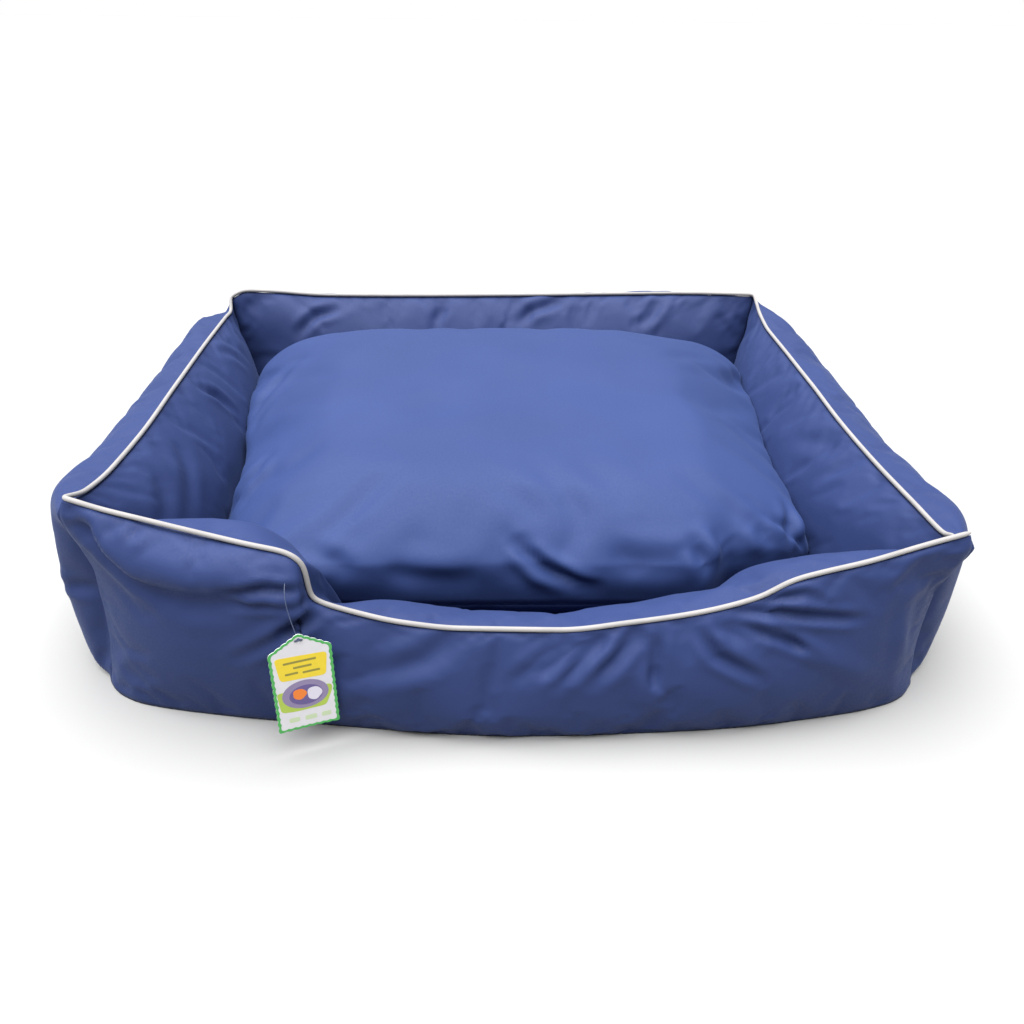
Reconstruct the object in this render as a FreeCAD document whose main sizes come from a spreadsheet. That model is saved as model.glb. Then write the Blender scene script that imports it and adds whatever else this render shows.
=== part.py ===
"""Pet cushion bed: four stuffed walls round a padded floor, a loose zipped cushion and a hang tag.

Units are millimetres. +Z is up, +X is to the right, and the low entry is at the front, towards -Y.
The origin is at the middle of the bed's footprint, on the surface that the bed stands on.
"""

import FreeCAD
import Part
import math
import os

import Sketcher

# Driving dimensions, kept in the document's sheet under these aliases.
DIMENSIONS = {
    # Rim: the line on top of the walls where the outer and inner panels are sewn together.
    "rim_half_width": 429,
    "rim_front": -334,
    "rim_back": 372,
    "rim_entry_bow": 55,
    "height_front_left": 226,
    "height_front_right": 201,
    "height_back_left": 214,
    "height_back_right": 221,
    "height_entry": 118,
    "rim_sag": 8,
    # Stuffed walls, measured outward from the rim line.
    "wall_depth": 75,
    "side_bulge": 42,
    "entry_bulge": 23,
    "side_foot": 12,
    "entry_foot": 16,
    "corner_share": 0.15,
    "fabric": 1.0,
    "filling_gap": 0.5,
    "seam_gap": 0.5,
    # Padded base.
    "bottom_thickness": 1.6,
    "layer_gap": 0.4,
    "pad_thickness": 9,
    "pad_margin": 4,
    # Rim piping.
    "piping_diameter": 7,
    "piping_bore": 5,
    "piping_core": 4.6,
    "piping_lift": 4.9,
    "piping_corner_radius": 25,
    "piping_bend_radius": 10,
    "piping_end_gap": 9,
    # Loose cushion.
    "cushion_width": 690,
    "cushion_depth": 580,
    "cushion_thickness": 176,
    "cushion_middle": 2,
    "cushion_radius": 70,
    "cushion_inset": 2.5,
    # Zip in the back of the cushion.
    "zip_length": 400,
    "zip_slot": 24,
    "tape_width": 9.7,
    "tape_thickness": 0.8,
    "coil_inner": 0.6,
    "coil_outer": 2.0,
    "coil_proud": 0.5,
    "stop_length": 3,
    "stop_width": 4.6,
    "stop_proud": 1.2,
    "zip_gap": 0.1,
    # Zip slider and pull.
    "slider_length": 9,
    "slider_width": 8,
    "slider_plate": 1.0,
    "slider_back": 2.2,
    "slider_front": 0.9,
    "slider_post_width": 0.6,
    "slider_post_length": 2,
    "slider_end_gap": 6,
    "bail_span": 5,
    "bail_wire": 0.8,
    "bail_width": 1.6,
    "bail_rise": 2.8,
    "pull_length": 18,
    "pull_width": 5,
    "pull_thickness": 1.0,
    "pull_stand_off": 0.95,
    "pull_eye_start": 0.5,
    "pull_eye_end": 4.4,
    "pull_eye_width": 3,
    # Hang tag.
    "tag_width": 62,
    "tag_height": 92,
    "tag_gable": 16,
    "tag_thickness": 0.6,
    "tag_hole_radius": 2.2,
    "tag_hole_drop": 7,
    "tag_turn": 20,
    "tag_place_x": -205,
    "tag_place_y": -416.5,
    "tag_place_z": 26,
    "filament_diameter": 0.8,
    "paddle_length": 8,
    "paddle_width": 3,
    "paddle_thickness": 0.9,
}

# Each entry station is a place along the front wall, from left to right, and the share of
# the corner's height above the entry that the rim keeps there. The drop on the left is steep.
ENTRY_STATIONS = (
    (0.0, 1.0),
    (0.16, 0.78),
    (0.275, 0.63),
    (0.32, 0.22),
    (0.42, 0.03),
    (0.56, 0.0),
    (0.71, 0.14),
    (0.80, 0.44),
    (0.90, 0.63),
    (1.0, 1.0),
)
PLAIN_STATIONS = (0.0, 0.12, 0.32, 0.5, 0.68, 0.88, 1.0)

# Section of a stuffed wall, from the rim down: share of the bulge or depth, share of the height.
OUTER_SECTION = ((0.0, 1.0), (0.55, 0.955), (0.92, 0.82), (1.0, 0.6), (0.93, 0.35), (0.68, 0.12))
INNER_SECTION = ((0.0, 1.0), (0.42, 0.885), (0.78, 0.62), (0.95, 0.3))

# Way of the tag's filament from the wall to its paddle: x, y, z of each bend, in the bed's frame.
FILAMENT_ROUTE = (
    (-216.0, -390.4, 176.0),
    (-216.5, -397.6, 169.0),
    (-214.0, -403.5, 156.5),
    (-210.0, -409.0, 141.5),
)

TOLERANCE = 1e-6
# Largest relative difference between a tube's volume and its section times its length.
VOLUME_TOLERANCE = 0.02
# How squarely a wall fills out between its pinched ends.
FULLNESS_POWER = 4
# Drop of an inset line below the rim, as a multiple of the inset, where the two faces meet.
RIM_DROP = 1.25
# Radius of a free bend, from the shorter run beside it.
BEND_SHARE = 0.45

doc = FreeCAD.newDocument("pet_cushion_bed")
sheet = doc.addObject("Spreadsheet::Sheet", "Dims")
for row, (alias, value) in enumerate(DIMENSIONS.items(), start=1):
    sheet.set("A%d" % row, alias)
    sheet.set("B%d" % row, str(value))
    sheet.setAlias("B%d" % row, alias)
doc.recompute()

PARTS = []


def size(alias):
    """Reads one driving dimension from the sheet."""
    return float(sheet.get(alias))


def evaluate(expression):
    """Works out an expression of the sheet's cells."""
    return float(sheet.evalExpression(expression))


def vector(x, y, z=0.0):
    return FreeCAD.Vector(x, y, z)


def keep(item):
    """Lists a finished sub-part for checking and export."""
    PARTS.append(item)
    return item


# --- Sketched bodies -------------------------------------------------------------------------


def new_body(label, x="0", y="0", z="0"):
    """Adds a body at a place given by expressions of the sheet."""
    body = doc.addObject("PartDesign::Body", label)
    body.Label = label
    for axis, expression in (("x", x), ("y", y), ("z", z)):
        body.setExpression("Placement.Base.%s" % axis, expression)
    return body


def new_sketch(body, role, offset="0"):
    """Attaches a sketch to one of the body's own origin planes, offset along its normal."""
    plane = next(item for item in body.Origin.OriginFeatures if item.Role == role)
    sketch = body.newObject("Sketcher::SketchObject", "%s_sketch" % body.Name)
    sketch.AttachmentSupport = [(plane, "")]
    sketch.MapMode = "FlatFace"
    sketch.setExpression("AttachmentOffset.Base.z", offset)
    return sketch


def draw_outline(sketch, corners, bowed_edge=None, radius=None):
    """Draws a closed outline through corners given as expressions; one edge may be an arc."""
    points = [vector(evaluate(x), evaluate(y)) for x, y in corners]
    first = sketch.GeometryCount
    for index, start in enumerate(points):
        end = points[(index + 1) % len(points)]
        if index == bowed_edge:
            half = (end - start).Length / 2
            bow = evaluate(radius) - math.sqrt(evaluate(radius) ** 2 - half**2)
            middle = (start + end) / 2 + vector(end.y - start.y, start.x - end.x).normalize() * bow
            sketch.addGeometry(Part.Arc(start, middle, end))
        else:
            sketch.addGeometry(Part.LineSegment(start, end))
    for index, corner in enumerate(corners):
        edge = first + index
        following = first + (index + 1) % len(corners)
        sketch.addConstraint(Sketcher.Constraint("Coincident", edge, 2, following, 1))
        for kind, expression in zip(("DistanceX", "DistanceY"), corner):
            constraint = Sketcher.Constraint(kind, -1, 1, edge, 1, evaluate(expression))
            number = sketch.addConstraint(constraint)
            sketch.setExpression("Constraints[%d]" % number, expression)
    if bowed_edge is not None:
        constraint = Sketcher.Constraint("Radius", first + bowed_edge, evaluate(radius))
        number = sketch.addConstraint(constraint)
        sketch.setExpression("Constraints[%d]" % number, radius)


def box_corners(left, right, low, high):
    return ((left, low), (right, low), (right, high), (left, high))


def pad(body, sketch, length, reversed_way=False):
    """Pads a sketch by a length given as an expression."""
    feature = body.newObject("PartDesign::Pad", "%s_pad" % body.Name)
    feature.Profile = sketch
    feature.Reversed = reversed_way
    feature.setExpression("Length", length)
    doc.recompute()
    return feature


def pad_back(body, corners, start, length):
    """Pads an outline drawn in X and Z from the plane y = start towards +Y."""
    sketch = new_sketch(body, "XZ_Plane", "-(%s)" % start)
    draw_outline(sketch, corners)
    return pad(body, sketch, length, reversed_way=True)


# --- Padded base -----------------------------------------------------------------------------


def base_layer(label, inset, level, thickness, bow):
    """A flat layer of the base, inset from the rim line, with the bowed front edge."""
    body = new_body(label, z=level)
    half = "Dims.rim_half_width - (%s)" % inset
    front = "Dims.rim_front + (%s)" % inset
    back = "Dims.rim_back - (%s)" % inset
    radius = "((%s)^2 + (%s)^2) / (2 * (%s))" % (half, bow, bow)
    sketch = new_sketch(body, "XY_Plane")
    corners = box_corners("-(%s)" % half, half, front, back)
    draw_outline(sketch, corners, bowed_edge=0, radius=radius)
    pad(body, sketch, thickness)
    return keep(body)


def build_base():
    foot_step = "(Dims.entry_foot - Dims.side_foot * Dims.corner_share)"
    base_layer(
        "bottom_panel",
        "-Dims.side_foot * Dims.corner_share",
        "0",
        "Dims.bottom_thickness",
        "Dims.rim_entry_bow + %s" % foot_step,
    )
    well = "Dims.wall_depth + Dims.pad_margin"
    pad_level = "Dims.bottom_thickness + Dims.layer_gap"
    floor_level = "%s + Dims.pad_thickness + Dims.layer_gap" % pad_level
    base_layer("base_pad", well, pad_level, "Dims.pad_thickness", "Dims.rim_entry_bow")
    base_layer("floor_panel", well, floor_level, "Dims.fabric", "Dims.rim_entry_bow")


# --- Stuffed walls ---------------------------------------------------------------------------

CORNERS = {
    "front_left": (-size("rim_half_width"), size("rim_front")),
    "front_right": (size("rim_half_width"), size("rim_front")),
    "back_left": (-size("rim_half_width"), size("rim_back")),
    "back_right": (size("rim_half_width"), size("rim_back")),
}
WALLS = {
    "front": ("front_left", "front_right", (0, -1)),
    "right": ("front_right", "back_right", (1, 0)),
    "back": ("back_right", "back_left", (0, 1)),
    "left": ("back_left", "front_left", (-1, 0)),
}


def blend(first, second, share):
    return first + (second - first) * share


class Station:
    """One cross-section of a wall: a rim point, the outward way and the wall's size there."""

    def __init__(self, wall, place, rise=None):
        start, end, outward = WALLS[wall]
        along = vector(*CORNERS[end]) - vector(*CORNERS[start])
        hump = 1 - (2 * place - 1) ** 2
        fullness = 1 - (2 * place - 1) ** FULLNESS_POWER
        share = blend(size("corner_share"), 1.0, fullness)
        entry = wall == "front"
        corner_height = blend(size("height_" + start), size("height_" + end), round(place))
        between = blend(size("height_" + start), size("height_" + end), place)
        self.height = between - size("rim_sag") * hump
        if entry:
            self.height = blend(size("height_entry"), corner_height, rise)
        self.outward = vector(*outward)
        self.rim = vector(*CORNERS[start]) + along * place
        if entry:
            self.rim += self.outward * (size("rim_entry_bow") * hump)
        self.bulge = share * size("entry_bulge" if entry else "side_bulge")
        foot = size("entry_foot") * fullness if entry else size("side_foot") * share
        self.foot = max(foot, size("side_foot") * size("corner_share"))
        self.shift = vector(0, 0)
        if place in (0.0, 1.0):
            towards_middle = along.normalize() * (1 if place == 0.0 else -1)
            self.outward = self.outward - towards_middle
            self.shift = towards_middle * size("seam_gap")

    def point(self, out, up):
        """Turns a distance outward of the rim line and a height into a point in space."""
        place = self.rim + self.shift + self.outward * out
        return vector(place.x, place.y, up)

    def outer(self, inset=0.0):
        """Points of the outer face, from the rim to the foot, moved into the wall by inset."""
        section = [(self.bulge * a, self.height * b) for a, b in OUTER_SECTION]
        section.append((self.foot, wall_base()))
        return inset_line(section, inset, -1)

    def inner(self, inset=0.0):
        """Points of the inner face, from the rim to the foot, moved into the wall by inset."""
        depth = size("wall_depth")
        section = [(-depth * a, self.height * b) for a, b in INNER_SECTION]
        section.append((-depth, wall_base()))
        return inset_line(section, inset, 1)


def wall_base():
    """Height at which the wall's fabric and filling start, just above the bottom panel."""
    return size("bottom_thickness") + size("layer_gap")


def inset_line(section, inset, side):
    """Moves a section line into the wall; its rim end stays on the rim line and its foot level."""
    moved = []
    for index, (out, up) in enumerate(section):
        if index == 0:
            moved.append((out, up - inset * RIM_DROP))
            continue
        before = section[index - 1]
        after = section[min(index + 1, len(section) - 1)]
        run, drop = after[0] - before[0], after[1] - before[1]
        length = math.hypot(run, drop)
        level = up if index == len(section) - 1 else up + side * run / length * inset
        moved.append((out - side * drop / length * inset, level))
    return moved


def curve(station, section):
    """A smooth edge through the points of a section line."""
    spline = Part.BSplineCurve()
    spline.interpolate([station.point(out, up) for out, up in section])
    return spline.toShape()


def line(station, start, end):
    return Part.LineSegment(station.point(*start), station.point(*end)).toShape()


def filling_wire(station):
    inset = size("fabric") + size("filling_gap")
    outer = station.outer(inset)
    inner = station.inner(inset)
    inner[0] = outer[0]
    edges = [curve(station, outer), line(station, outer[-1], inner[-1]), curve(station, inner)]
    return Part.Wire(Part.__sortEdges__(edges))


def panel_wire(station, side):
    """Closed section of one fabric panel, just off the rim line on its own side."""
    section = station.outer if side > 0 else station.inner
    step = side * size("layer_gap") / 2
    face = [(out + step, up) for out, up in section()]
    back = [(out + step, up) for out, up in section(size("fabric"))]
    edges = [
        curve(station, face),
        line(station, face[-1], back[-1]),
        curve(station, back),
        line(station, back[0], face[0]),
    ]
    return Part.Wire(Part.__sortEdges__(edges))


def add_shape(label, shape):
    """Adds a sub-part whose shape is worked out here from the sheet's sizes."""
    feature = doc.addObject("Part::Feature", label)
    feature.Label = label
    feature.Shape = shape
    feature.Placement = FreeCAD.Placement()
    return keep(feature)


def stations(wall):
    if wall == "front":
        return [Station(wall, place, rise) for place, rise in ENTRY_STATIONS]
    return [Station(wall, place) for place in PLAIN_STATIONS]


def build_walls():
    for wall in WALLS:
        run = stations(wall)
        filling = Part.makeLoft([filling_wire(one) for one in run], True, True)
        outer = Part.makeLoft([panel_wire(one, 1) for one in run], True, True)
        inner = Part.makeLoft([panel_wire(one, -1) for one in run], True, True)
        add_shape("%s_wall_filling" % wall, filling)
        add_shape("%s_wall_outer_panel" % wall, outer)
        add_shape("%s_wall_inner_panel" % wall, inner)


# --- Round cords along a bent way ------------------------------------------------------------


def bent_way(points, radii):
    """A wire of straight runs joined by tangent arcs; radii has one entry for each bend."""
    edges = []
    start = points[0]
    for index, radius in enumerate(radii, start=1):
        corner = points[index]
        back = (points[index - 1] - corner).normalize()
        ahead = (points[index + 1] - corner).normalize()
        half_turn = (math.pi - back.getAngle(ahead)) / 2
        if half_turn < TOLERANCE:
            continue
        reach = radius * math.tan(half_turn)
        leave, join = corner + back * reach, corner + ahead * reach
        middle = (back + ahead).normalize()
        apex = corner + middle * (radius / math.cos(half_turn) - radius)
        edges.append(Part.LineSegment(start, leave).toShape())
        edges.append(Part.Arc(leave, apex, join).toShape())
        start = join
    edges.append(Part.LineSegment(start, points[-1]).toShape())
    return Part.Wire(edges)


def round_tube(way, diameter):
    """A solid round tube along a wire, with its volume checked against section times length."""
    first = way.Edges[0]
    heading = first.tangentAt(first.FirstParameter)
    ring = Part.Circle(way.Vertexes[0].Point, heading, diameter / 2).toShape()
    tube = way.makePipeShell([Part.Wire(ring)], True, False)
    expected = math.pi * diameter**2 / 4 * way.Length
    if abs(tube.Volume / expected - 1) > VOLUME_TOLERANCE:
        raise RuntimeError("a tube's volume is not its section times its length")
    return tube


def rim_points():
    """The piping's way round the rim: front right to front left, and round to the start."""
    ridge = []
    for wall in ("front", "left", "back", "right"):
        run = [one.rim + vector(0, 0, one.height) for one in reversed(stations(wall))]
        ridge += run if wall == "front" else run[1:]
    points = []
    for index, point in enumerate(ridge):
        before = ridge[max(index - 1, 0)]
        after = ridge[min(index + 1, len(ridge) - 1)]
        heading = (after - before).normalize()
        upright = vector(0, 0, 1) - heading * heading.z
        points.append(point + upright.normalize() * size("piping_lift"))
    last = points[-1] - points[-2]
    points[-1] -= last.normalize() * size("piping_end_gap")
    return points


def build_piping():
    points = rim_points()
    front_count = len(ENTRY_STATIONS) - 1
    side_count = len(PLAIN_STATIONS) - 1
    corners = {front_count, front_count + side_count, front_count + 2 * side_count}
    radii = [
        size("piping_corner_radius" if index in corners else "piping_bend_radius")
        for index in range(1, len(points) - 1)
    ]
    way = bent_way(points, radii)
    sleeve = round_tube(way, size("piping_diameter")).cut(round_tube(way, size("piping_bore")))
    add_shape("rim_piping_sleeve", sleeve)
    add_shape("rim_piping_cord", round_tube(way, size("piping_core")))
    print("rim piping length %.0f mm" % way.Length)


# --- Loose cushion ---------------------------------------------------------------------------


def cushion_bottom():
    return "(Dims.bottom_thickness + Dims.pad_thickness + Dims.fabric + 3 * Dims.layer_gap)"


def cushion_block(name, inset):
    """A block with every edge rounded, smaller than the cushion by inset all round."""
    block = doc.addObject("Part::Box", name)
    block.setExpression("Length", "Dims.cushion_width - 2 * (%s)" % inset)
    block.setExpression("Width", "Dims.cushion_depth - 2 * (%s)" % inset)
    block.setExpression("Height", "Dims.cushion_thickness - 2 * (%s)" % inset)
    block.setExpression("Placement.Base.x", "(%s) - Dims.cushion_width / 2" % inset)
    block.setExpression(
        "Placement.Base.y", "(%s) - Dims.cushion_depth / 2 + Dims.cushion_middle" % inset
    )
    block.setExpression("Placement.Base.z", "%s + (%s)" % (cushion_bottom(), inset))
    doc.recompute()
    rounded = doc.addObject("Part::Fillet", "%s_rounded" % name)
    rounded.Base = block
    radius = evaluate("Dims.cushion_radius - (%s)" % inset)
    rounded.Edges = [(index, radius, radius) for index in range(1, len(block.Shape.Edges) + 1)]
    doc.recompute()
    return rounded


def clip_box(name, low, height):
    """A box that covers one half of the cushion's thickness."""
    block = doc.addObject("Part::Box", name)
    block.setExpression("Length", "2 * Dims.cushion_width")
    block.setExpression("Width", "2 * Dims.cushion_depth")
    block.setExpression("Height", height)
    block.setExpression("Placement.Base.x", "-Dims.cushion_width")
    block.setExpression("Placement.Base.y", "-Dims.cushion_depth")
    block.setExpression("Placement.Base.z", low)
    return block


def seam_level():
    return "(%s + Dims.cushion_thickness / 2)" % cushion_bottom()


def boolean(kind, label, base, tool):
    result = doc.addObject(kind, label)
    result.Label = label
    result.Base = base
    result.Tool = tool
    doc.recompute()
    return result


def zip_slot():
    """The gap that the two panels leave for the zip, in the back of the cushion."""
    slot = doc.addObject("Part::Box", "zip_slot")
    slot.setExpression("Length", "Dims.zip_length + 2 * Dims.layer_gap")
    slot.setExpression("Width", "Dims.cushion_radius / 2")
    slot.setExpression("Height", "Dims.zip_slot")
    slot.setExpression("Placement.Base.x", "-Dims.zip_length / 2 - Dims.layer_gap")
    slot.setExpression("Placement.Base.y", "%s - Dims.cushion_radius / 4" % cushion_back())
    slot.setExpression("Placement.Base.z", "%s - Dims.zip_slot / 2" % seam_level())
    return slot


def cushion_back():
    return "(Dims.cushion_depth / 2 + Dims.cushion_middle)"


def build_cushion():
    outside = cushion_block("cushion_outside", "0")
    inside = cushion_block("cushion_inside", "Dims.fabric")
    skin = boolean("Part::Cut", "cushion_skin", outside, inside)
    open_skin = boolean("Part::Cut", "cushion_open_skin", skin, zip_slot())
    half_gap = "Dims.layer_gap / 2"
    above = clip_box("above_seam", "%s + %s" % (seam_level(), half_gap), "Dims.cushion_thickness")
    below = clip_box(
        "below_seam",
        "%s - %s - Dims.cushion_thickness" % (seam_level(), half_gap),
        "Dims.cushion_thickness",
    )
    keep(boolean("Part::Common", "cushion_top_panel", open_skin, above))
    keep(boolean("Part::Common", "cushion_bottom_panel", open_skin, below))
    filling = cushion_block("filling_block", "Dims.cushion_inset")
    filling.Label = "cushion_filling"
    keep(filling)


# --- Zip -------------------------------------------------------------------------------------


def zip_strip(label, inner, outer, back, front, upper):
    """A straight strip of the zip between two distances from its seam, above or below it."""
    body = new_body(label, y=cushion_back(), z=seam_level())
    sign = "" if upper else "-"
    low, high = (inner, outer) if upper else (outer, inner)
    corners = box_corners(
        "-Dims.zip_length / 2",
        "Dims.zip_length / 2",
        "%s(%s)" % (sign, low),
        "%s(%s)" % (sign, high),
    )
    pad_back(body, corners, back, "(%s) - (%s)" % (front, back))
    return keep(body)


def build_zip():
    tape_back = "-Dims.tape_thickness - Dims.zip_gap"
    tape_front = "-Dims.zip_gap"
    for side, upper in (("upper", True), ("lower", False)):
        zip_strip(
            "zip_tape_%s" % side,
            "Dims.coil_outer",
            "Dims.coil_outer + Dims.tape_width",
            tape_back,
            tape_front,
            upper,
        )
        zip_strip(
            "zip_coil_%s" % side,
            "Dims.coil_inner",
            "Dims.coil_outer",
            tape_back,
            "Dims.coil_proud",
            upper,
        )
    for side, sign in (("left", "-"), ("right", "")):
        body = new_body("zip_stop_%s" % side, y=cushion_back(), z=seam_level())
        end = "%s(Dims.zip_length / 2 - Dims.stop_length)" % sign
        tip = "%sDims.zip_length / 2" % sign
        left, right = (tip, end) if sign else (end, tip)
        half = "Dims.stop_width / 2"
        corners = box_corners(left, right, "-%s" % half, half)
        start = "Dims.coil_proud + Dims.zip_gap"
        pad_back(body, corners, start, "Dims.stop_proud")
        keep(body)


def slider_rest():
    return (
        "(Dims.zip_length / 2 - Dims.stop_length - Dims.slider_length / 2 "
        "- Dims.slider_end_gap)"
    )


def build_slider():
    """Two plates joined by a post that runs between the coils, with a bail for the pull."""
    body = new_body("zip_slider", x=slider_rest(), y=cushion_back(), z=seam_level())
    half_post = "Dims.slider_post_width / 2"
    tip = "Dims.slider_length / 2"
    post = box_corners("%s - Dims.slider_post_length" % tip, tip, "-%s" % half_post, half_post)
    through = "Dims.slider_back + Dims.slider_front + Dims.slider_plate"
    pad_back(body, post, "-Dims.slider_back", through)
    shoulder = "Dims.slider_width / 2"
    waist = "Dims.slider_width / 3"
    outline = (
        ("-%s" % tip, "-%s" % waist),
        ("0", "-%s" % shoulder),
        (tip, "-%s" % shoulder),
        (tip, shoulder),
        ("0", shoulder),
        ("-%s" % tip, waist),
    )
    pad_back(body, outline, "-Dims.slider_back", "Dims.slider_plate")
    pad_back(body, outline, "Dims.slider_front", "Dims.slider_plate")
    face = "Dims.slider_front + Dims.slider_plate"
    outside, inside = "Dims.bail_span / 2", "Dims.bail_span / 2 - Dims.bail_wire"
    top, under = "%s + Dims.bail_rise" % face, "%s + Dims.bail_rise - Dims.bail_wire" % face
    arch = (
        ("-(%s)" % outside, face),
        ("-(%s)" % inside, face),
        ("-(%s)" % inside, under),
        (inside, under),
        (inside, face),
        (outside, face),
        (outside, top),
        ("-(%s)" % outside, top),
    )
    sketch = new_sketch(body, "XY_Plane", "-Dims.bail_width / 2")
    draw_outline(sketch, arch)
    pad(body, sketch, "Dims.bail_width")
    return keep(body)


def pull_level():
    """Distance of the pull's middle plane from the cushion's back face."""
    return "(Dims.slider_front + Dims.slider_plate + Dims.pull_stand_off)"


def build_pull():
    """A flat tab whose eye goes round one leg of the slider's bail."""
    body = new_body(
        "zip_pull",
        x=slider_rest(),
        y="%s + %s" % (cushion_back(), pull_level()),
        z=seam_level(),
    )
    half = "Dims.pull_width / 2"
    root = "Dims.pull_thickness / 2"
    corners = box_corners("-Dims.pull_length", root, "-%s" % half, half)
    pad_back(body, corners, "-Dims.pull_thickness / 2", "Dims.pull_thickness")
    whole = body.Shape.Volume
    eye = new_sketch(body, "XZ_Plane")
    half_eye = "Dims.pull_eye_width / 2"
    draw_outline(
        eye,
        box_corners("-Dims.pull_eye_end", "-Dims.pull_eye_start", "-%s" % half_eye, half_eye),
    )
    pocket = body.newObject("PartDesign::Pocket", "zip_pull_eye")
    pocket.Profile = eye
    pocket.Type = "ThroughAll"
    pocket.SideType = "Symmetric"
    doc.recompute()
    if body.Shape.Volume > whole - TOLERANCE:
        raise RuntimeError("the pull's eye was not cut")
    return keep(body)


# --- Hang tag --------------------------------------------------------------------------------


def place_on_tag(body):
    """Puts a body in the tag's own frame: bottom middle of the card, turned about the vertical."""
    for axis in ("x", "y", "z"):
        body.setExpression("Placement.Base.%s" % axis, "Dims.tag_place_%s" % axis)
    body.setExpression("Placement.Rotation.Angle", "Dims.tag_turn")


def hole_level():
    return "(Dims.tag_height + Dims.tag_gable - Dims.tag_hole_drop)"


def build_tag():
    card = new_body("tag_card")
    place_on_tag(card)
    sketch = new_sketch(card, "XZ_Plane", "Dims.tag_thickness / 2")
    half = "Dims.tag_width / 2"
    gable = (
        ("-%s" % half, "0"),
        (half, "0"),
        (half, "Dims.tag_height"),
        ("0", "Dims.tag_height + Dims.tag_gable"),
        ("-%s" % half, "Dims.tag_height"),
    )
    draw_outline(sketch, gable)
    centre = vector(0, evaluate(hole_level()))
    ring = sketch.addGeometry(Part.Circle(centre, vector(0, 0, 1), size("tag_hole_radius")))
    sketch.addConstraint(Sketcher.Constraint("PointOnObject", ring, 3, -2))
    for kind, expression in (
        (Sketcher.Constraint("DistanceY", -1, 1, ring, 3, centre.y), hole_level()),
        (Sketcher.Constraint("Radius", ring, size("tag_hole_radius")), "Dims.tag_hole_radius"),
    ):
        number = sketch.addConstraint(kind)
        sketch.setExpression("Constraints[%d]" % number, expression)
    pad(card, sketch, "Dims.tag_thickness", reversed_way=True)
    keep(card)

    paddle = new_body("tag_paddle")
    place_on_tag(paddle)
    half_length = "Dims.paddle_length / 2"
    level = "%s - Dims.paddle_width / 2" % hole_level()
    pad_back(
        paddle,
        box_corners("-%s" % half_length, half_length, level, "%s + Dims.paddle_width" % level),
        "-Dims.tag_thickness / 2 - Dims.paddle_thickness - Dims.zip_gap",
        "Dims.paddle_thickness",
    )
    keep(paddle)

    depth = "Dims.filament_diameter / 2 - Dims.tag_thickness / 2 - Dims.zip_gap"
    end = card.Placement.multVec(vector(0, evaluate(depth), evaluate(hole_level())))
    points = [vector(*point) for point in FILAMENT_ROUTE] + [end]
    radii = []
    for before, corner, after in zip(points, points[1:], points[2:]):
        half_turn = (math.pi - (before - corner).getAngle(after - corner)) / 2
        shorter = min((before - corner).Length, (after - corner).Length)
        radii.append(BEND_SHARE * shorter / math.tan(half_turn))
    way = bent_way(points, radii)
    add_shape("tag_filament", round_tube(way, size("filament_diameter")))
    print("tag filament length %.1f mm, radii %s" % (way.Length, [round(r, 1) for r in radii]))


# --- Build, check and write ------------------------------------------------------------------


def check_and_write():
    doc.recompute()
    for item in doc.Objects:
        bad = {"Invalid", "Error"} & set(item.State)
        if bad:
            raise RuntimeError("%s is %s" % (item.Label, bad))
    os.makedirs("parts", exist_ok=True)
    for item in PARTS:
        shape = item.Shape
        if shape.isNull() or not shape.isValid() or not shape.Solids:
            raise RuntimeError("%s has no sound solid" % item.Label)
        shape.exportStep("parts/%s.step" % item.Label)
        print("%-26s %9.1f cm3" % (item.Label, shape.Volume / 1000))


build_base()
build_walls()
build_piping()
build_cushion()
build_zip()
build_slider()
build_pull()
build_tag()
check_and_write()
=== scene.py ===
"""Looks of the pet cushion bed: simulated cloth walls and cushion, piping, zip, base and hang tag."""

import math

import bpy
import numpy as np
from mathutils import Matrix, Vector, noise
from mathutils.bvhtree import BVHTree


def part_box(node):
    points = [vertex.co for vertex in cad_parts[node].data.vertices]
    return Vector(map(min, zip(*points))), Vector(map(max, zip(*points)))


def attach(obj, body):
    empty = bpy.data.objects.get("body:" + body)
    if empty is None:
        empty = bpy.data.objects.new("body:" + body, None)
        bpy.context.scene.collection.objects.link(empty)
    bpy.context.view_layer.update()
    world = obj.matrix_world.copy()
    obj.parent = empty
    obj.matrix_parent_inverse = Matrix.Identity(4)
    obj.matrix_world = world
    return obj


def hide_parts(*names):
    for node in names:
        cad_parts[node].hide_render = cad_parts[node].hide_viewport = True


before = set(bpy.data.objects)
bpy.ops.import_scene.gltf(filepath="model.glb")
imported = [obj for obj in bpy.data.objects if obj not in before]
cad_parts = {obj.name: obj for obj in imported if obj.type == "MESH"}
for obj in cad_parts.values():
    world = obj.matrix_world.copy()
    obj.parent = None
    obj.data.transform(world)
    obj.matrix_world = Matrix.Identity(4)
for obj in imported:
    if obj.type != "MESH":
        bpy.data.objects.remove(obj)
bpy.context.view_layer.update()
MM = 0.001


# --- Camera ----------------------------------------------------------------------------------


SENSOR_WIDTH = 36
FOCAL_LENGTH = 0.8539 * SENSOR_WIDTH
CAMERA_PLACE = (-0.0231, -1.0517, 0.6225)
# Degrees that the camera looks down, turns to the right and rolls.
CAMERA_PITCH, CAMERA_YAW, CAMERA_ROLL = 29.35, 1.356, -0.665


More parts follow.
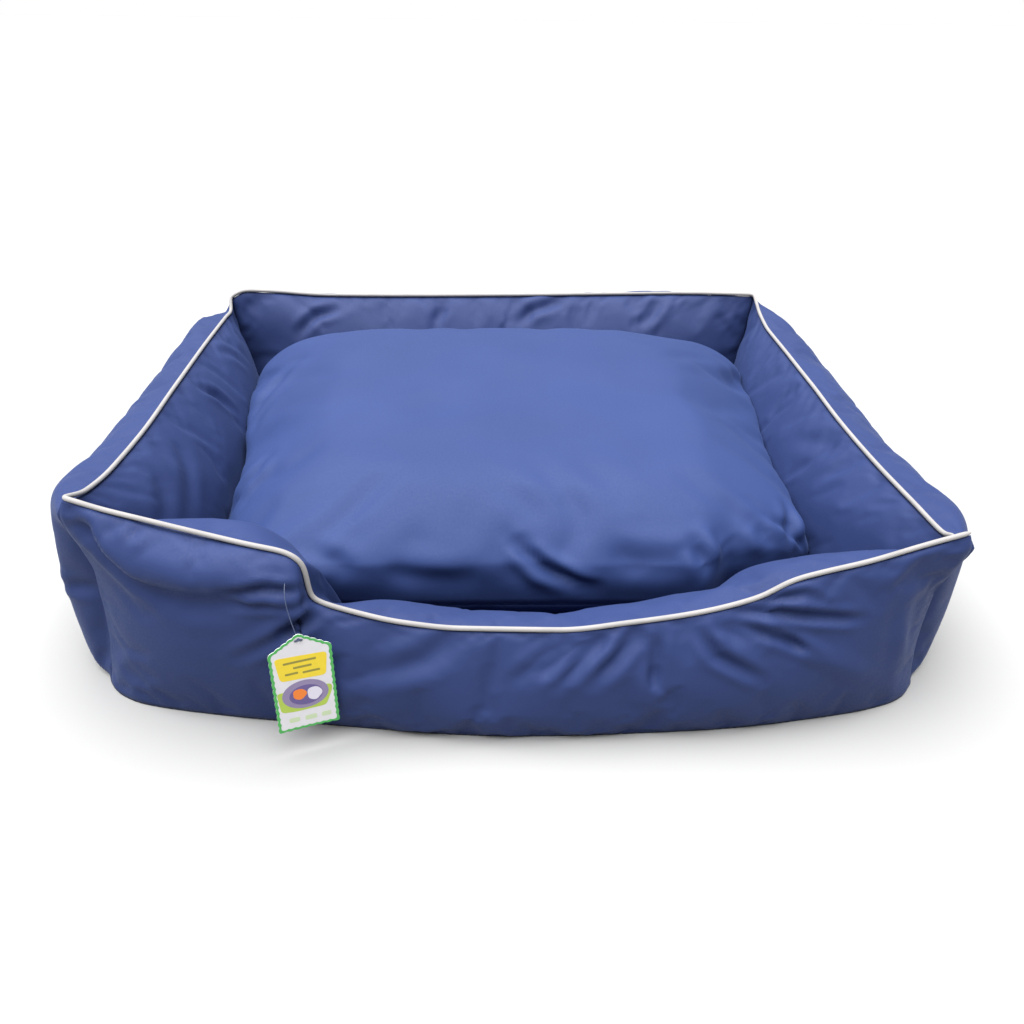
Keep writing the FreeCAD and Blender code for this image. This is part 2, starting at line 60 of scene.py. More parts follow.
def add_camera():
    camera = bpy.data.cameras.new("camera")
    camera.sensor_width = SENSOR_WIDTH
    camera.lens = FOCAL_LENGTH
    obj = bpy.data.objects.new("camera", camera)
    bpy.context.scene.collection.objects.link(obj)
    pitch, yaw, roll = (math.radians(turn) for turn in (CAMERA_PITCH, CAMERA_YAW, CAMERA_ROLL))
    forward = Vector((math.sin(yaw) * math.cos(pitch), math.cos(yaw) * math.cos(pitch), -math.sin(pitch)))
    side = Vector((math.cos(yaw), -math.sin(yaw), 0))
    down = forward.cross(side)
    right = side * math.cos(roll) + down * math.sin(roll)
    under = down * math.cos(roll) - side * math.sin(roll)
    matrix = obj.matrix_world.to_3x3()
    matrix.col[0], matrix.col[1], matrix.col[2] = right, -under, -forward
    obj.matrix_world = matrix.to_4x4()
    obj.location = CAMERA_PLACE
    bpy.context.scene.camera = obj


add_camera()

# --- Filament of the tag: the only free cord --------------------------------------------------

FILAMENT_DIAMETER = 0.8 * MM
# A curve point's radius also pads the curve's box, so it is kept small and the bevel large.
POINT_RADIUS = 0.001
# Control points of the filament in mm, from the tag's hinge in the wall to the card's hole.
FILAMENT_WAY = (
    (-212.5, -390.4, 176), (-212.5, -397.6, 170), (-210, -404, 158.5),
    (-205.5, -410, 144), (-200, -416.5, 132.4),
)


def add_filament():
    curve = bpy.data.curves.new("tag_filament_line", "CURVE")
    curve.dimensions = "3D"
    curve.resolution_u = 24
    curve.bevel_depth = FILAMENT_DIAMETER / 2 / POINT_RADIUS
    curve.bevel_resolution = 3
    curve.use_fill_caps = True
    spline = curve.splines.new("NURBS")
    spline.points.add(len(FILAMENT_WAY) - 1)
    for point, place in zip(spline.points, FILAMENT_WAY):
        point.co = (place[0] * MM, place[1] * MM, place[2] * MM, 1)
        point.radius = POINT_RADIUS
    spline.order_u = 3
    spline.use_endpoint_u = True
    obj = bpy.data.objects.new("tag_filament_line", curve)
    bpy.context.scene.collection.objects.link(obj)
    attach(obj, "hang_tag")
    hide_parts("tag_filament")
    return obj


filament = add_filament()

# --- Small tools -----------------------------------------------------------------------------

CLOTH_THICKNESS = 1.0 * MM


def blend(a, b, share):
    return a + (b - a) * share


def smooth_step(x):
    x = np.clip(x, 0, 1)
    return x * x * (3 - 2 * x)


def curve_through(stations, place):
    """Smooth value at a place, from (place, value...) stations, without overshoot."""
    table = np.array(stations, float)
    x, values = table[:, 0], table[:, 1:]
    slopes = np.diff(values, axis=0) / np.diff(x)[:, None]
    product = slopes[:-1] * slopes[1:]
    total = slopes[:-1] + slopes[1:]
    tangent = np.zeros_like(values)
    tangent[1:-1] = np.where(product > 0, 2 * product / np.where(product > 0, total, 1), 0)
    tangent[0], tangent[-1] = slopes[0], slopes[-1]
    k = int(np.clip(np.searchsorted(x, place) - 1, 0, len(x) - 2))
    h = x[k + 1] - x[k]
    t = (place - x[k]) / h
    return (
        (2 * t**3 - 3 * t**2 + 1) * values[k]
        + (t**3 - 2 * t**2 + t) * h * tangent[k]
        + (3 * t**2 - 2 * t**3) * values[k + 1]
        + (t**3 - t**2) * h * tangent[k + 1]
    )


def even_rows(corners, count):
    """Evenly spaced points on a smooth section line through given corners."""
    corners = np.array(corners, float)
    steps = np.arange(len(corners))
    stations = np.column_stack([steps, corners])
    fine = np.array([curve_through(stations, t) for t in np.linspace(0, len(corners) - 1, 12 * len(corners))])
    run = run_along(fine)
    wanted = np.linspace(0, run[-1], count + 1)
    return np.column_stack([np.interp(wanted, run, fine[:, 0]), np.interp(wanted, run, fine[:, 1])])


def new_object(name, points, faces):
    mesh = bpy.data.meshes.new(name)
    mesh.from_pydata([tuple(map(float, p)) for p in points], [], [tuple(map(int, f)) for f in faces])
    mesh.update()
    mesh.polygons.foreach_set("use_smooth", [True] * len(mesh.polygons))
    obj = bpy.data.objects.new(name, mesh)
    bpy.context.scene.collection.objects.link(obj)
    return obj


def coordinates(obj):
    out = np.zeros(len(obj.data.vertices) * 3)
    obj.data.vertices.foreach_get("co", out)
    return out.reshape(-1, 3)


def grid_faces(rows, columns, closed=False):
    """Quads of a grid of points, stored row after row."""
    faces = []
    for i in range(rows if closed else rows - 1):
        a, b = i * columns, (i + 1) % rows * columns
        for j in range(columns - 1):
            faces.append((a + j, b + j, b + j + 1, a + j + 1))
    return faces


def grid_normals(grid, closed=False):
    """Unit normals of a grid of points, on the side its quads face."""
    if closed:
        along = np.roll(grid, -1, axis=0) - np.roll(grid, 1, axis=0)
    else:
        along = np.gradient(grid, axis=0)
    across = np.gradient(grid, axis=1)
    normal = np.cross(along, across)
    return normal / np.maximum(np.linalg.norm(normal, axis=2, keepdims=True), 1e-12)


def between(grid, closed):
    """Points halfway between the rows of a grid, on smooth curves through them."""
    after = np.roll(grid, -1, axis=0)
    if closed:
        before, beyond = np.roll(grid, 1, axis=0), np.roll(grid, -2, axis=0)
        return (9 * (grid + after) - before - beyond) / 16
    padded = np.concatenate([2 * grid[:1] - grid[1:2], grid, 2 * grid[-1:] - grid[-2:-1]])
    return (9 * (padded[1:-2] + padded[2:-1]) - padded[:-3] - padded[3:]) / 16


def refined(grid, closed=False):
    """Grid with twice as many rows and columns, on smooth curves through its points."""
    middles = between(grid, closed)
    rows = np.zeros((len(grid) + len(middles),) + grid.shape[1:])
    rows[::2], rows[1::2] = grid, middles
    turned = rows.transpose(1, 0, 2)
    middles = between(turned, False)
    out = np.zeros((len(turned) + len(middles),) + turned.shape[1:])
    out[::2], out[1::2] = turned, middles
    return out.transpose(1, 0, 2)


def smoothed(grid, passes):
    """Grid with its small ripples evened out; its edges stay."""
    out = grid.copy()
    for _ in range(passes):
        out[1:-1, 1:-1] = (
            4 * out[1:-1, 1:-1] + out[:-2, 1:-1] + out[2:, 1:-1] + out[1:-1, :-2] + out[1:-1, 2:]
        ) / 8
    return out


def smooth_noise(points, scale, seed):
    """Soft random field from -1 to 1 at each point, the same on every run."""
    shift = Vector((seed * 17.3, seed * 5.1, seed * 9.7))
    return np.array([noise.noise(Vector(p) * scale + shift) for p in points.reshape(-1, 3)])


def set_map(obj, flat):
    """UV map from a place on the cloth, in metres, for each of the mesh's points."""
    layer = obj.data.uv_layers.new(name="cloth")
    index = np.zeros(len(obj.data.loops), int)
    obj.data.loops.foreach_get("vertex_index", index)
    layer.data.foreach_set("uv", flat[index].reshape(-1))


def set_cloth_map(obj, grid):
    """UV map along the cloth of a grid, so that the weave lies square on each panel."""
    down = np.linalg.norm(np.diff(grid, axis=0), axis=2).mean(axis=1)
    over = np.linalg.norm(np.diff(grid, axis=1), axis=2).mean(axis=0)
    u = np.concatenate([[0], np.cumsum(down)])
    v = np.concatenate([[0], np.cumsum(over)])
    set_map(obj, np.column_stack([np.repeat(u, len(v)), np.tile(v, len(u))]))


def add_thickness(obj, thickness):
    """Gives a sheet its thickness, on the side away from its normals."""
    thick = obj.modifiers.new("thickness", "SOLIDIFY")
    thick.thickness = thickness
    thick.offset = -1


def run_along(line):
    """Distance along a line of points, at each of them."""
    return np.concatenate([[0], np.cumsum(np.linalg.norm(np.diff(line, axis=0), axis=1))])


def finish_piece(obj, body, material, replaced=()):
    if material is not None:
        obj.data.materials.append(material)
    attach(obj, body)
    if replaced:
        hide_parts(*replaced)
    return obj


def cloth_panel(name, grid, body, material, replaced):
    """One sewn panel from a grid of points: thin cloth with its right side outward."""
    obj = new_object(name, grid.reshape(-1, 3), grid_faces(*grid.shape[:2]))
    set_cloth_map(obj, grid)
    add_thickness(obj, CLOTH_THICKNESS)
    return finish_piece(obj, body, material, replaced)


def simulate(points, faces, ease, pinned, frames, pressure, stiffness, bending, most_ease):
    """Runs Blender's cloth on a mesh and returns where its points come to rest.

    ease, from 0 to 1 at each point, says how much spare cloth is gathered there.
    """
    obj = new_object("cloth_work", points, faces)
    group = obj.vertex_groups.new(name="seams")
    group.add([int(i) for i in pinned], 1.0, "REPLACE")
    spare = obj.vertex_groups.new(name="ease")
    for index, value in enumerate(ease):
        spare.add([index], float(value), "REPLACE")
    cloth = obj.modifiers.new("cloth", "CLOTH")
    settings = cloth.settings
    settings.vertex_group_shrink = "ease"
    settings.shrink_min = -0.01
    settings.shrink_max = -most_ease
    settings.quality = 6
    settings.mass = 0.3
    settings.tension_stiffness = stiffness
    settings.compression_stiffness = stiffness
    settings.shear_stiffness = stiffness / 4
    settings.bending_stiffness = bending
    settings.use_pressure = True
    settings.uniform_pressure_force = pressure
    settings.vertex_group_mass = "seams"
    settings.effector_weights.gravity = 0
    settings.air_damping = 4
    cloth.collision_settings.use_collision = False
    cloth.point_cache.frame_start = 1
    cloth.point_cache.frame_end = frames
    for number in range(1, frames + 1):
        bpy.context.scene.frame_set(number)
    graph = bpy.context.evaluated_depsgraph_get()
    result = coordinates(obj.evaluated_get(graph))
    bpy.data.objects.remove(obj)
    bpy.context.scene.frame_set(1)
    return result


def capped(start, moved, cap):
    """Moved points, none further than the cap from where they started."""
    step = moved - start
    length = np.linalg.norm(step, axis=-1, keepdims=True)
    return start + step * np.minimum(1, cap / np.maximum(length, 1e-9))


def crease(grid, normals, path, width, depth, lift=0.45):
    """Presses a groove into a surface along a path in mm, with a soft ridge on both sides.

    The groove fades at both ends of the path. Negative depth raises a fold instead.
    """
    path = np.array(path, float) * MM
    width, depth = width * MM, depth * MM
    points = grid.reshape(-1, 3)
    runs = np.linalg.norm(np.diff(path, axis=0), axis=1)
    total = runs.sum()
    nearest = np.full(len(points), 1e9)
    place = np.zeros(len(points))
    done = 0.0
    for start, end, run in zip(path, path[1:], runs):
        way = (end - start) / run
        t = np.clip((points - start) @ way, 0, run)
        gap = np.linalg.norm(points - start - t[:, None] * way, axis=1)
        closer = gap < nearest
        nearest = np.where(closer, gap, nearest)
        place = np.where(closer, (done + t) / total, place)
        done += run
    fade = np.sin(np.pi * np.clip(place, 0.02, 0.98)) ** 0.6
    groove = np.exp(-((nearest / width) ** 2))
    ridge = np.exp(-(((nearest - 1.8 * width) / (0.9 * width)) ** 2))
    move = depth * fade * (lift * ridge - groove)
    return grid + normals * move.reshape(grid.shape[:-1])[..., None]

# --- The rim ---------------------------------------------------------------------------------
# Corners of the rim in plan: the frame's corner, and how far the soft corner sits off it in mm
# at the rim and at the foot.

WALL_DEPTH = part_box("back_wall_inner_panel")[1].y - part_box("back_wall_inner_panel")[0].y
HALF_WIDTH = -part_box("left_wall_outer_panel")[1].x
RIM_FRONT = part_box("left_wall_inner_panel")[0].y
RIM_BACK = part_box("back_wall_inner_panel")[1].y
LAYER_GAP = 0.4 * MM
FLOOR_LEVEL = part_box("bottom_panel")[1].z + LAYER_GAP
SOFT_CORNERS = {
    "front_left": (-1, RIM_FRONT, (2, 8), (-3, 15)),
    "front_right": (1, RIM_FRONT, (3, -9), (-2, 7)),
    "back_right": (1, RIM_BACK, (-22, 6), (0, 0)),
    "back_left": (-1, RIM_BACK, (-22, -4), (0, 0)),
}
# Each wall runs anticlockwise seen from above: first corner, last corner, way outward.
WALLS = {
    "front": ("front_left", "front_right", (0, -1)),
    "right": ("front_right", "back_right", (1, 0)),
    "back": ("back_right", "back_left", (0, 1)),
    "left": ("back_left", "front_left", (-1, 0)),
}
# Stations along each wall: place, outward bow of the rim, height of the rim, in mm.
RIM_STATIONS = {
    "front": (
        (0.0, 0, 227), (0.045, 11, 221), (0.102, 21, 214), (0.157, 30, 207), (0.211, 38, 200),
        (0.248, 42, 195), (0.258, 43, 190), (0.263, 43, 184), (0.267, 43, 151), (0.274, 43, 143),
        (0.308, 46, 134), (0.37, 50, 123), (0.433, 53, 119), (0.543, 54, 119), (0.619, 51, 126),
        (0.696, 46, 135), (0.761, 39, 148), (0.80, 34, 165), (0.83, 30, 171), (0.881, 22, 178),
        (0.95, 9, 190), (1.0, 0, 198),
    ),
    "right": (
        (0.0, 0, 198), (0.05, -4, 176), (0.13, -8, 179), (0.25, -11, 181), (0.41, -13, 187),
        (0.56, -12, 195), (0.73, -8, 199), (0.85, -5, 201), (0.92, -4, 210), (1.0, 0, 228),
    ),
    "back": (
        (0.0, 0, 228), (0.1, 8, 228), (0.25, 12, 226), (0.45, 14, 223), (0.65, 13, 222),
        (0.82, 8, 224), (0.92, 3, 231), (0.97, 1, 233), (1.0, 0, 222),
    ),
    "left": (
        (0.0, 0, 222), (0.035, -3, 206), (0.1, -6, 210), (0.28, -10, 214), (0.53, -11, 211),
        (0.73, -9, 205), (0.85, -7, 206), (0.94, -4, 212), (1.0, 0, 226),
    ),
}
# Stations of the foot: place, outward bow in mm. The corners of the base are rounded.
FOOT_STATIONS = {
    "front": (
        (0.0, 0), (0.015, 16), (0.055, 34), (0.15, 50), (0.25, 61), (0.5, 80), (0.72, 71), (0.88, 50),
        (0.95, 34), (0.98, 20), (1.0, 0),
    ),
    "right": ((0.0, 0), (0.03, 8), (0.1, 11), (0.9, 11), (0.97, 8), (1.0, 0)),
    "back": ((0.0, 0), (0.03, 9), (0.1, 13), (0.9, 13), (0.97, 9), (1.0, 0)),
    "left": ((0.0, 0), (0.03, 9), (0.1, 12), (0.9, 12), (0.97, 9), (1.0, 0)),
}


def corner_point(name, at_foot=False):
    side, y, rim_shift, foot_shift = SOFT_CORNERS[name]
    dx, dy = foot_shift if at_foot else rim_shift
    return np.array([side * HALF_WIDTH + dx * MM, y + dy * MM])


def rim_at(wall, place):
    """Point on the rim, at a place from 0 to 1 along a wall."""
    start, end, outward = WALLS[wall]
    bow, height = curve_through(RIM_STATIONS[wall], place) * MM
    flat = blend(corner_point(start), corner_point(end), place) + np.array(outward) * bow
    return np.array([flat[0], flat[1], height])


def foot_at(wall, place):
    """Point where the outer panel meets the bottom, in plan."""
    start, end, outward = WALLS[wall]
    bow = curve_through(FOOT_STATIONS[wall], place)[0] * MM
    return blend(corner_point(start, True), corner_point(end, True), place) + np.array(outward) * bow


def wall_length(wall):
    start, end, _ = WALLS[wall]
    return np.linalg.norm(corner_point(end) - corner_point(start))


# --- Walls as one stuffed ring ---------------------------------------------------------------

CELL = 8 * MM
OUTER_ROWS = 30
INNER_ROWS = 26
# Sections from the rim down: share of the bulge or depth, share of the height. A wall is full
# along its middle and pinched where it is sewn to the next one.
OUTER_FULL = (
    (0, 1), (0.28, 1.02), (0.62, 1.025), (0.87, 0.995), (1.0, 0.91), (1.02, 0.76), (0.92, 0.42), (0.76, 0.16),
    (0.50, 0.03), (0, 0),
)
OUTER_FRONT = (
    (0, 1), (0.45, 0.985), (0.85, 0.93), (1.1, 0.84), (1.2, 0.70), (1.0, 0.48), (0.7, 0.28), (0.45, 0.12),
    (0.2, 0.025), (0, 0),
)
OUTER_LEANING = (
    (0, 1), (0.30, 0.975), (0.48, 0.90), (0.62, 0.80), (0.82, 0.65), (1.0, 0.48), (1.05, 0.32), (0.85, 0.17),
    (0.45, 0.05), (0, 0),
)
OUTER_PINCHED = (
    (0, 1), (0.5, 0.93), (0.2, 0.84), (-0.5, 0.72), (-1, 0.6), (-1, 0.45), (-0.9, 0.3), (-0.6, 0.16),
    (-0.3, 0.06), (0, 0),
)
INNER_FULL = ((0, 1), (0.17, 0.99), (0.37, 0.92), (0.56, 0.76), (0.74, 0.52), (0.90, 0.25), (1, 0))
INNER_FRONT = ((0, 1), (0.24, 1.015), (0.48, 0.99), (0.70, 0.90), (0.87, 0.70), (0.97, 0.38), (1, 0))
INNER_SLOPED = ((0, 1), (0.16, 0.95), (0.34, 0.86), (0.53, 0.70), (0.73, 0.48), (0.90, 0.24), (1, 0))
INNER_PINCHED = ((0, 1), (0.06, 0.86), (0.12, 0.70), (0.24, 0.50), (0.48, 0.30), (0.80, 0.12), (1, 0))
BULGE = {"front": 15 * MM, "right": 54 * MM, "back": 34 * MM, "left": 51 * MM}
CORNER_BULGE = 8 * MM
# Share by which a wall's inner side stands back along its middle.
SLIMMER = {"front": 0.0, "right": 0.14, "back": 0.0, "left": 0.12}
# How quickly a wall fills out from its corners, outside and inside.
FILL_POWER = {"front": 8, "right": 14, "back": 8, "left": 16}
INNER_FILL_POWER = 8
# The low entry: place of the step beside it, its width, and where the leaning section starts.
STEP_PLACE, STEP_WIDTH = 0.262, 0.05
LEANING_PLACE, LEANING_WIDTH = 0.26, 0.10
# Length at each end of a wall over which its outside turns into the mitre.
MITRE_LENGTH = 50 * MM


def wall_outward(wall):
    start, end, _ = WALLS[wall]
    along = corner_point(end) - corner_point(start)
    along /= np.linalg.norm(along)
    return np.array([along[1], -along[0]])


def mitre_ways(wall):
    """Ways outward at a wall's two corners, along the mitres."""
    names = list(WALLS)
    before = names[names.index(wall) - 1]
    after = names[(names.index(wall) + 1) % 4]
    own = wall_outward(wall)
    return wall_outward(before) + own, own + wall_outward(after)


def wall_column(wall, place):
    """Section of a wall at a place along it: outer foot, up over the rim, down to the inner foot."""
    rim = rim_at(wall, place)
    foot = foot_at(wall, place)
    height = rim[2] - FLOOR_LEVEL
    own = wall_outward(wall)
    first_mitre, last_mitre = mitre_ways(wall)
    fullness = 1 - abs(2 * place - 1) ** FILL_POWER[wall]
    inner_fullness = 1 - abs(2 * place - 1) ** INNER_FILL_POWER
    full = np.array(OUTER_FULL)
    if wall == "front":
        leaning = smooth_step((place - LEANING_PLACE) / LEANING_WIDTH)
        full = blend(np.array(OUTER_FRONT), np.array(OUTER_LEANING), leaning)
    outer = blend(np.array(OUTER_PINCHED), full, fullness)
    outer[:, 0] *= blend(CORNER_BULGE, BULGE[wall], fullness)
    outer[:, 1] *= height
    full = np.array(INNER_FULL)
    if wall == "front":
        near_step = math.exp(-(((place - STEP_PLACE) / STEP_WIDTH) ** 2))
        full = blend(np.array(INNER_FRONT), np.array(INNER_SLOPED), near_step)
    inner = blend(np.array(INNER_PINCHED), full, inner_fullness)
    inner[:, 0] *= WALL_DEPTH * (1 - SLIMMER[wall] * inner_fullness)
    inner[:, 1] *= height
    near_first = 1 - smooth_step(place * wall_length(wall) / MITRE_LENGTH)
    near_last = 1 - smooth_step((1 - place) * wall_length(wall) / MITRE_LENGTH)
    outer_way = own + (first_mitre - own) * near_first + (last_mitre - own) * near_last
    inner_way = blend(first_mitre, last_mitre, place)
    rows = []
    for out, level in even_rows(outer, OUTER_ROWS)[:0:-1]:
        flat = blend(foot, rim[:2], level / height) + outer_way * out
        rows.append((flat[0], flat[1], FLOOR_LEVEL + level))
    for depth, level in even_rows(inner, INNER_ROWS):
        flat = rim[:2] - inner_way * depth
        rows.append((flat[0], flat[1], FLOOR_LEVEL + level))
    return rows


def even_places(wall, gap):
    """Places along a wall that lie evenly on its rim, up and down its steps too."""
    fine = np.linspace(0, 1, 801)
    rim = np.array([rim_at(wall, place) for place in fine])
    run = run_along(rim)
    count = int(round(run[-1] / gap))
    return np.interp(np.linspace(0, run[-1], count + 1), run, fine)


def wall_columns():
    columns, first = [], {}
    for wall in WALLS:
        first[wall] = len(columns)
        for place in even_places(wall, CELL)[:-1]:
            columns.append(wall_column(wall, place))
    return np.array(columns), first


RING_START, FIRST_COLUMN = wall_columns()
COLUMNS, ROWS = RING_START.shape[:2]


WALL_WOBBLE = 1.5 * MM
WALL_MOST_MOVE = 14 * MM


def stuff_walls():
    """Stuffs the ring of walls with the cloth solver, held at its rim, feet and corner seams."""
    held = np.zeros((COLUMNS, ROWS), bool)
    held[:, [0, OUTER_ROWS, ROWS - 1]] = True
    held[list(FIRST_COLUMN.values())] = True
    wobble = smooth_noise(RING_START, 24, 1).reshape(COLUMNS, ROWS) * WALL_WOBBLE
    start = RING_START + grid_normals(RING_START, True) * (wobble * ~held)[..., None]
    rows = np.arange(ROWS)
    near_rim = np.exp(-(((rows - OUTER_ROWS) / 5) ** 2))
    near_feet = np.exp(-((rows / 5) ** 2))
    ease = np.tile(0.3 + 0.7 * np.maximum(near_rim, near_feet), (COLUMNS, 1))
    pinned = np.flatnonzero(held.reshape(-1))
    faces = grid_faces(COLUMNS, ROWS, True)
    moved = simulate(
        start.reshape(-1, 3), faces, ease.reshape(-1), pinned,
        frames=20, pressure=2.0, stiffness=25, bending=0.3, most_ease=0.08,
    )
    return capped(start, moved.reshape(start.shape), WALL_MOST_MOVE)


ring = refined(stuff_walls(), True)
RIM_ROW, LAST_ROW = 2 * OUTER_ROWS, 2 * (ROWS - 1)
SEAM_COLUMN = {wall: 2 * column for wall, column in FIRST_COLUMN.items()}

# Folds pressed into the walls: path in mm, width and depth of the groove in mm.
# A negative depth raises a soft swelling.
WALL_FOLDS = (
    # Front left: the swollen top, the diagonal from the corner, and the folds under the step.
    (((-400, -347, 205), (-350, -366, 184), (-290, -381, 182), (-225, -387, 182)), 24, -9),
    (((-417, -334, 214), (-399, -340, 194), (-383, -347, 178), (-360, -358, 162), (-330, -368, 152)), 9, 8),
    (((-345, -363, 156), (-306, -377, 149), (-275, -383, 153), (-248, -386, 164)), 13, 6),
    (((-272, -384, 163), (-235, -387, 169), (-200, -388, 165)), 5.5, 9),
    (((-282, -385, 150), (-227, -389, 154), (-178, -385, 150)), 5, 5),
    (((-268, -385, 90), (-236, -389, 110), (-205, -392, 130), (-170, -388, 146)), 6.5, 7.5),
    (((-360, -356, 196), (-350, -351, 213)), 6, 4),
    (((-420, -352, 130), (-424, -350, 80), (-428, -345, 40)), 12, -3),
    # Front right: long folds that run down from the seam.
    (((227, -382, 147), (249, -382, 152), (269, -383, 157), (284, -385, 152)), 5, 5.5),
    (((205, -384, 140), (261, -387, 137), (330, -382, 127)), 5, 7),
    (((190, -390, 134), (254, -392, 112), (345, -374, 54)), 5, 6),
    (((258, -391, 110), (305, -384, 88), (352, -372, 56)), 5, 4),
    (((182, -393, 130), (227, -398, 112)), 6, 4),
    (((166, -394, 130), (188, -404, 101), (236, -401, 72)), 6, 7),
    (((133, -394, 124), (130, -405, 90), (126, -403, 44)), 5.5, 5),
    (((112, -391, 121), (93, -405, 100), (72, -410, 76)), 7, 5.5),
    (((88, -391, 121), (62, -404, 101), (38, -411, 74)), 7, 5.5),
    (((72, -391, 119), (38, -405, 99), (10, -410, 78)), 7, 5),
    (((50, -391, 117), (20, -403, 99), (-6, -408, 74)), 6, 3),
    (((-60, -392, 116), (-90, -403, 96), (-150, -402, 74)), 10, 4),
    (((388, -366, 150), (386, -372, 110), (392, -368, 60)), 12, -4),
    # End of the left side wall, and its crossways creases.
    (((-476, -262, 102), (-452, -294, 110), (-430, -301, 114)), 7, 5),
    (((-411, 36, 200), (-394, 60, 178), (-370, 76, 146)), 7, 6),
    (((-420, 160, 208), (-405, 185, 196), (-390, 205, 172)), 8, 3),
    (((-400, -95, 184), (-382, -120, 166), (-365, -175, 130)), 11, 3.5),
    (((-405, -175, 195), (-384, -195, 168), (-366, -235, 140)), 12, 3.5),
    # Back wall: puckers and a crossways fold.
    (((-340, 330, 176), (-313, 347, 202), (-272, 356, 212)), 8, 7),
    (((10, 350, 184), (37, 367, 204), (90, 380, 221)), 9, 6),
    (((212, 344, 182), (237, 357, 203), (254, 378, 225)), 9, 6),
    (((-120, 352, 190), (-105, 370, 212)), 9, 4),
    # Right side wall: shallow creases.
    (((352, -110, 138), (383, -123, 158), (402, -128, 172)), 9, 2.5),
    (((366, -14, 151), (386, -60, 165), (398, -110, 172)), 12, 2.5),
)
for path, width, depth in WALL_FOLDS:
    ring = crease(ring, grid_normals(ring, True), path, width, depth)
ring_normals = grid_normals(ring, True)


def wall_grid(wall, low, high):
    """Columns of one wall, its end corners included, between two rows of the ring."""
    names = list(WALLS)
    first = SEAM_COLUMN[wall]
    after = names[(names.index(wall) + 1) % 4]
    last = SEAM_COLUMN[after] or len(ring)
    index = np.arange(first, last + 1) % len(ring)
    return ring[index, low : high + 1], ring_normals[index, low : high + 1]

# --- Materials -------------------------------------------------------------------------------


class Nodes:
    """Short way to wire a material's nodes."""

    def __init__(self, name, roughness, specular=0.5):
        self.material = bpy.data.materials.new(name)
        self.material.use_nodes = True
        self.tree = self.material.node_tree
        self.shader = self.tree.nodes["Principled BSDF"]
        self.shader.inputs["Roughness"].default_value = roughness
        self.shader.inputs["Specular IOR Level"].default_value = specular

    def add(self, kind, inputs=None, **settings):
        node = self.tree.nodes.new(kind)
        for key, value in settings.items():
            setattr(node, key, value)
        for key, value in (inputs or {}).items():
            if isinstance(value, bpy.types.NodeSocket):
                self.tree.links.new(value, node.inputs[key])
            else:
                node.inputs[key].default_value = value
        return node

    def noise(self, coordinates, scale, detail=3.0, roughness=0.5):
        inputs = {"Vector": coordinates, "Scale": scale, "Detail": detail, "Roughness": roughness}
        return self.add("ShaderNodeTexNoise", inputs).outputs["Fac"]

    def combine(self, operation, a, b):
        return self.add("ShaderNodeMath", {0: a, 1: b}, operation=operation).outputs[0]

    def ramp(self, value, low, high, to_low, to_high):
        inputs = {"Value": value, "From Min": low, "From Max": high, "To Min": to_low, "To Max": to_high}
        return self.add("ShaderNodeMapRange", inputs).outputs["Result"]

    def mix(self, share, first, second):
        node = self.tree.nodes.new("ShaderNodeMix")
        node.data_type = "RGBA"
        for socket, value in ((node.inputs[0], share), (node.inputs[6], first), (node.inputs[7], second)):
            if isinstance(value, bpy.types.NodeSocket):
                self.tree.links.new(value, socket)
            else:
                socket.default_value = value
        return node.outputs[2]

    def waves(self, coordinates, pitch, direction):
        """Rows of threads a pitch apart, from 0 between threads to 1 on them."""
        inputs = {"Vector": coordinates, "Scale": math.pi / (10 * pitch), "Distortion": 0.0}
        settings = {"wave_type": "BANDS", "bands_direction": direction, "wave_profile": "SIN"}
        return self.add("ShaderNodeTexWave", inputs, **settings).outputs["Fac"]

    def coordinates(self, kind="Object"):
        return self.add("ShaderNodeTexCoord").outputs[kind]

    def dappled(self, field, first, second):
        """Colour that goes from one to the other as a noise field goes from low to high."""
        return self.mix(self.ramp(field, 0.3, 0.7, 0.0, 1.0), first, second)

    def bump(self, height, distance, strength, under=None):
        inputs = {"Height": height, "Distance": distance, "Strength": strength}
        if under is not None:
            inputs["Normal"] = under
        return self.add("ShaderNodeBump", inputs).outputs["Normal"]

    def set(self, socket, value):
        if isinstance(value, bpy.types.NodeSocket):
            self.tree.links.new(value, self.shader.inputs[socket])
        else:
            self.shader.inputs[socket].default_value = value


def shade(colour, factor):
    return (colour[0] * factor, colour[1] * factor, colour[2] * factor, 1)


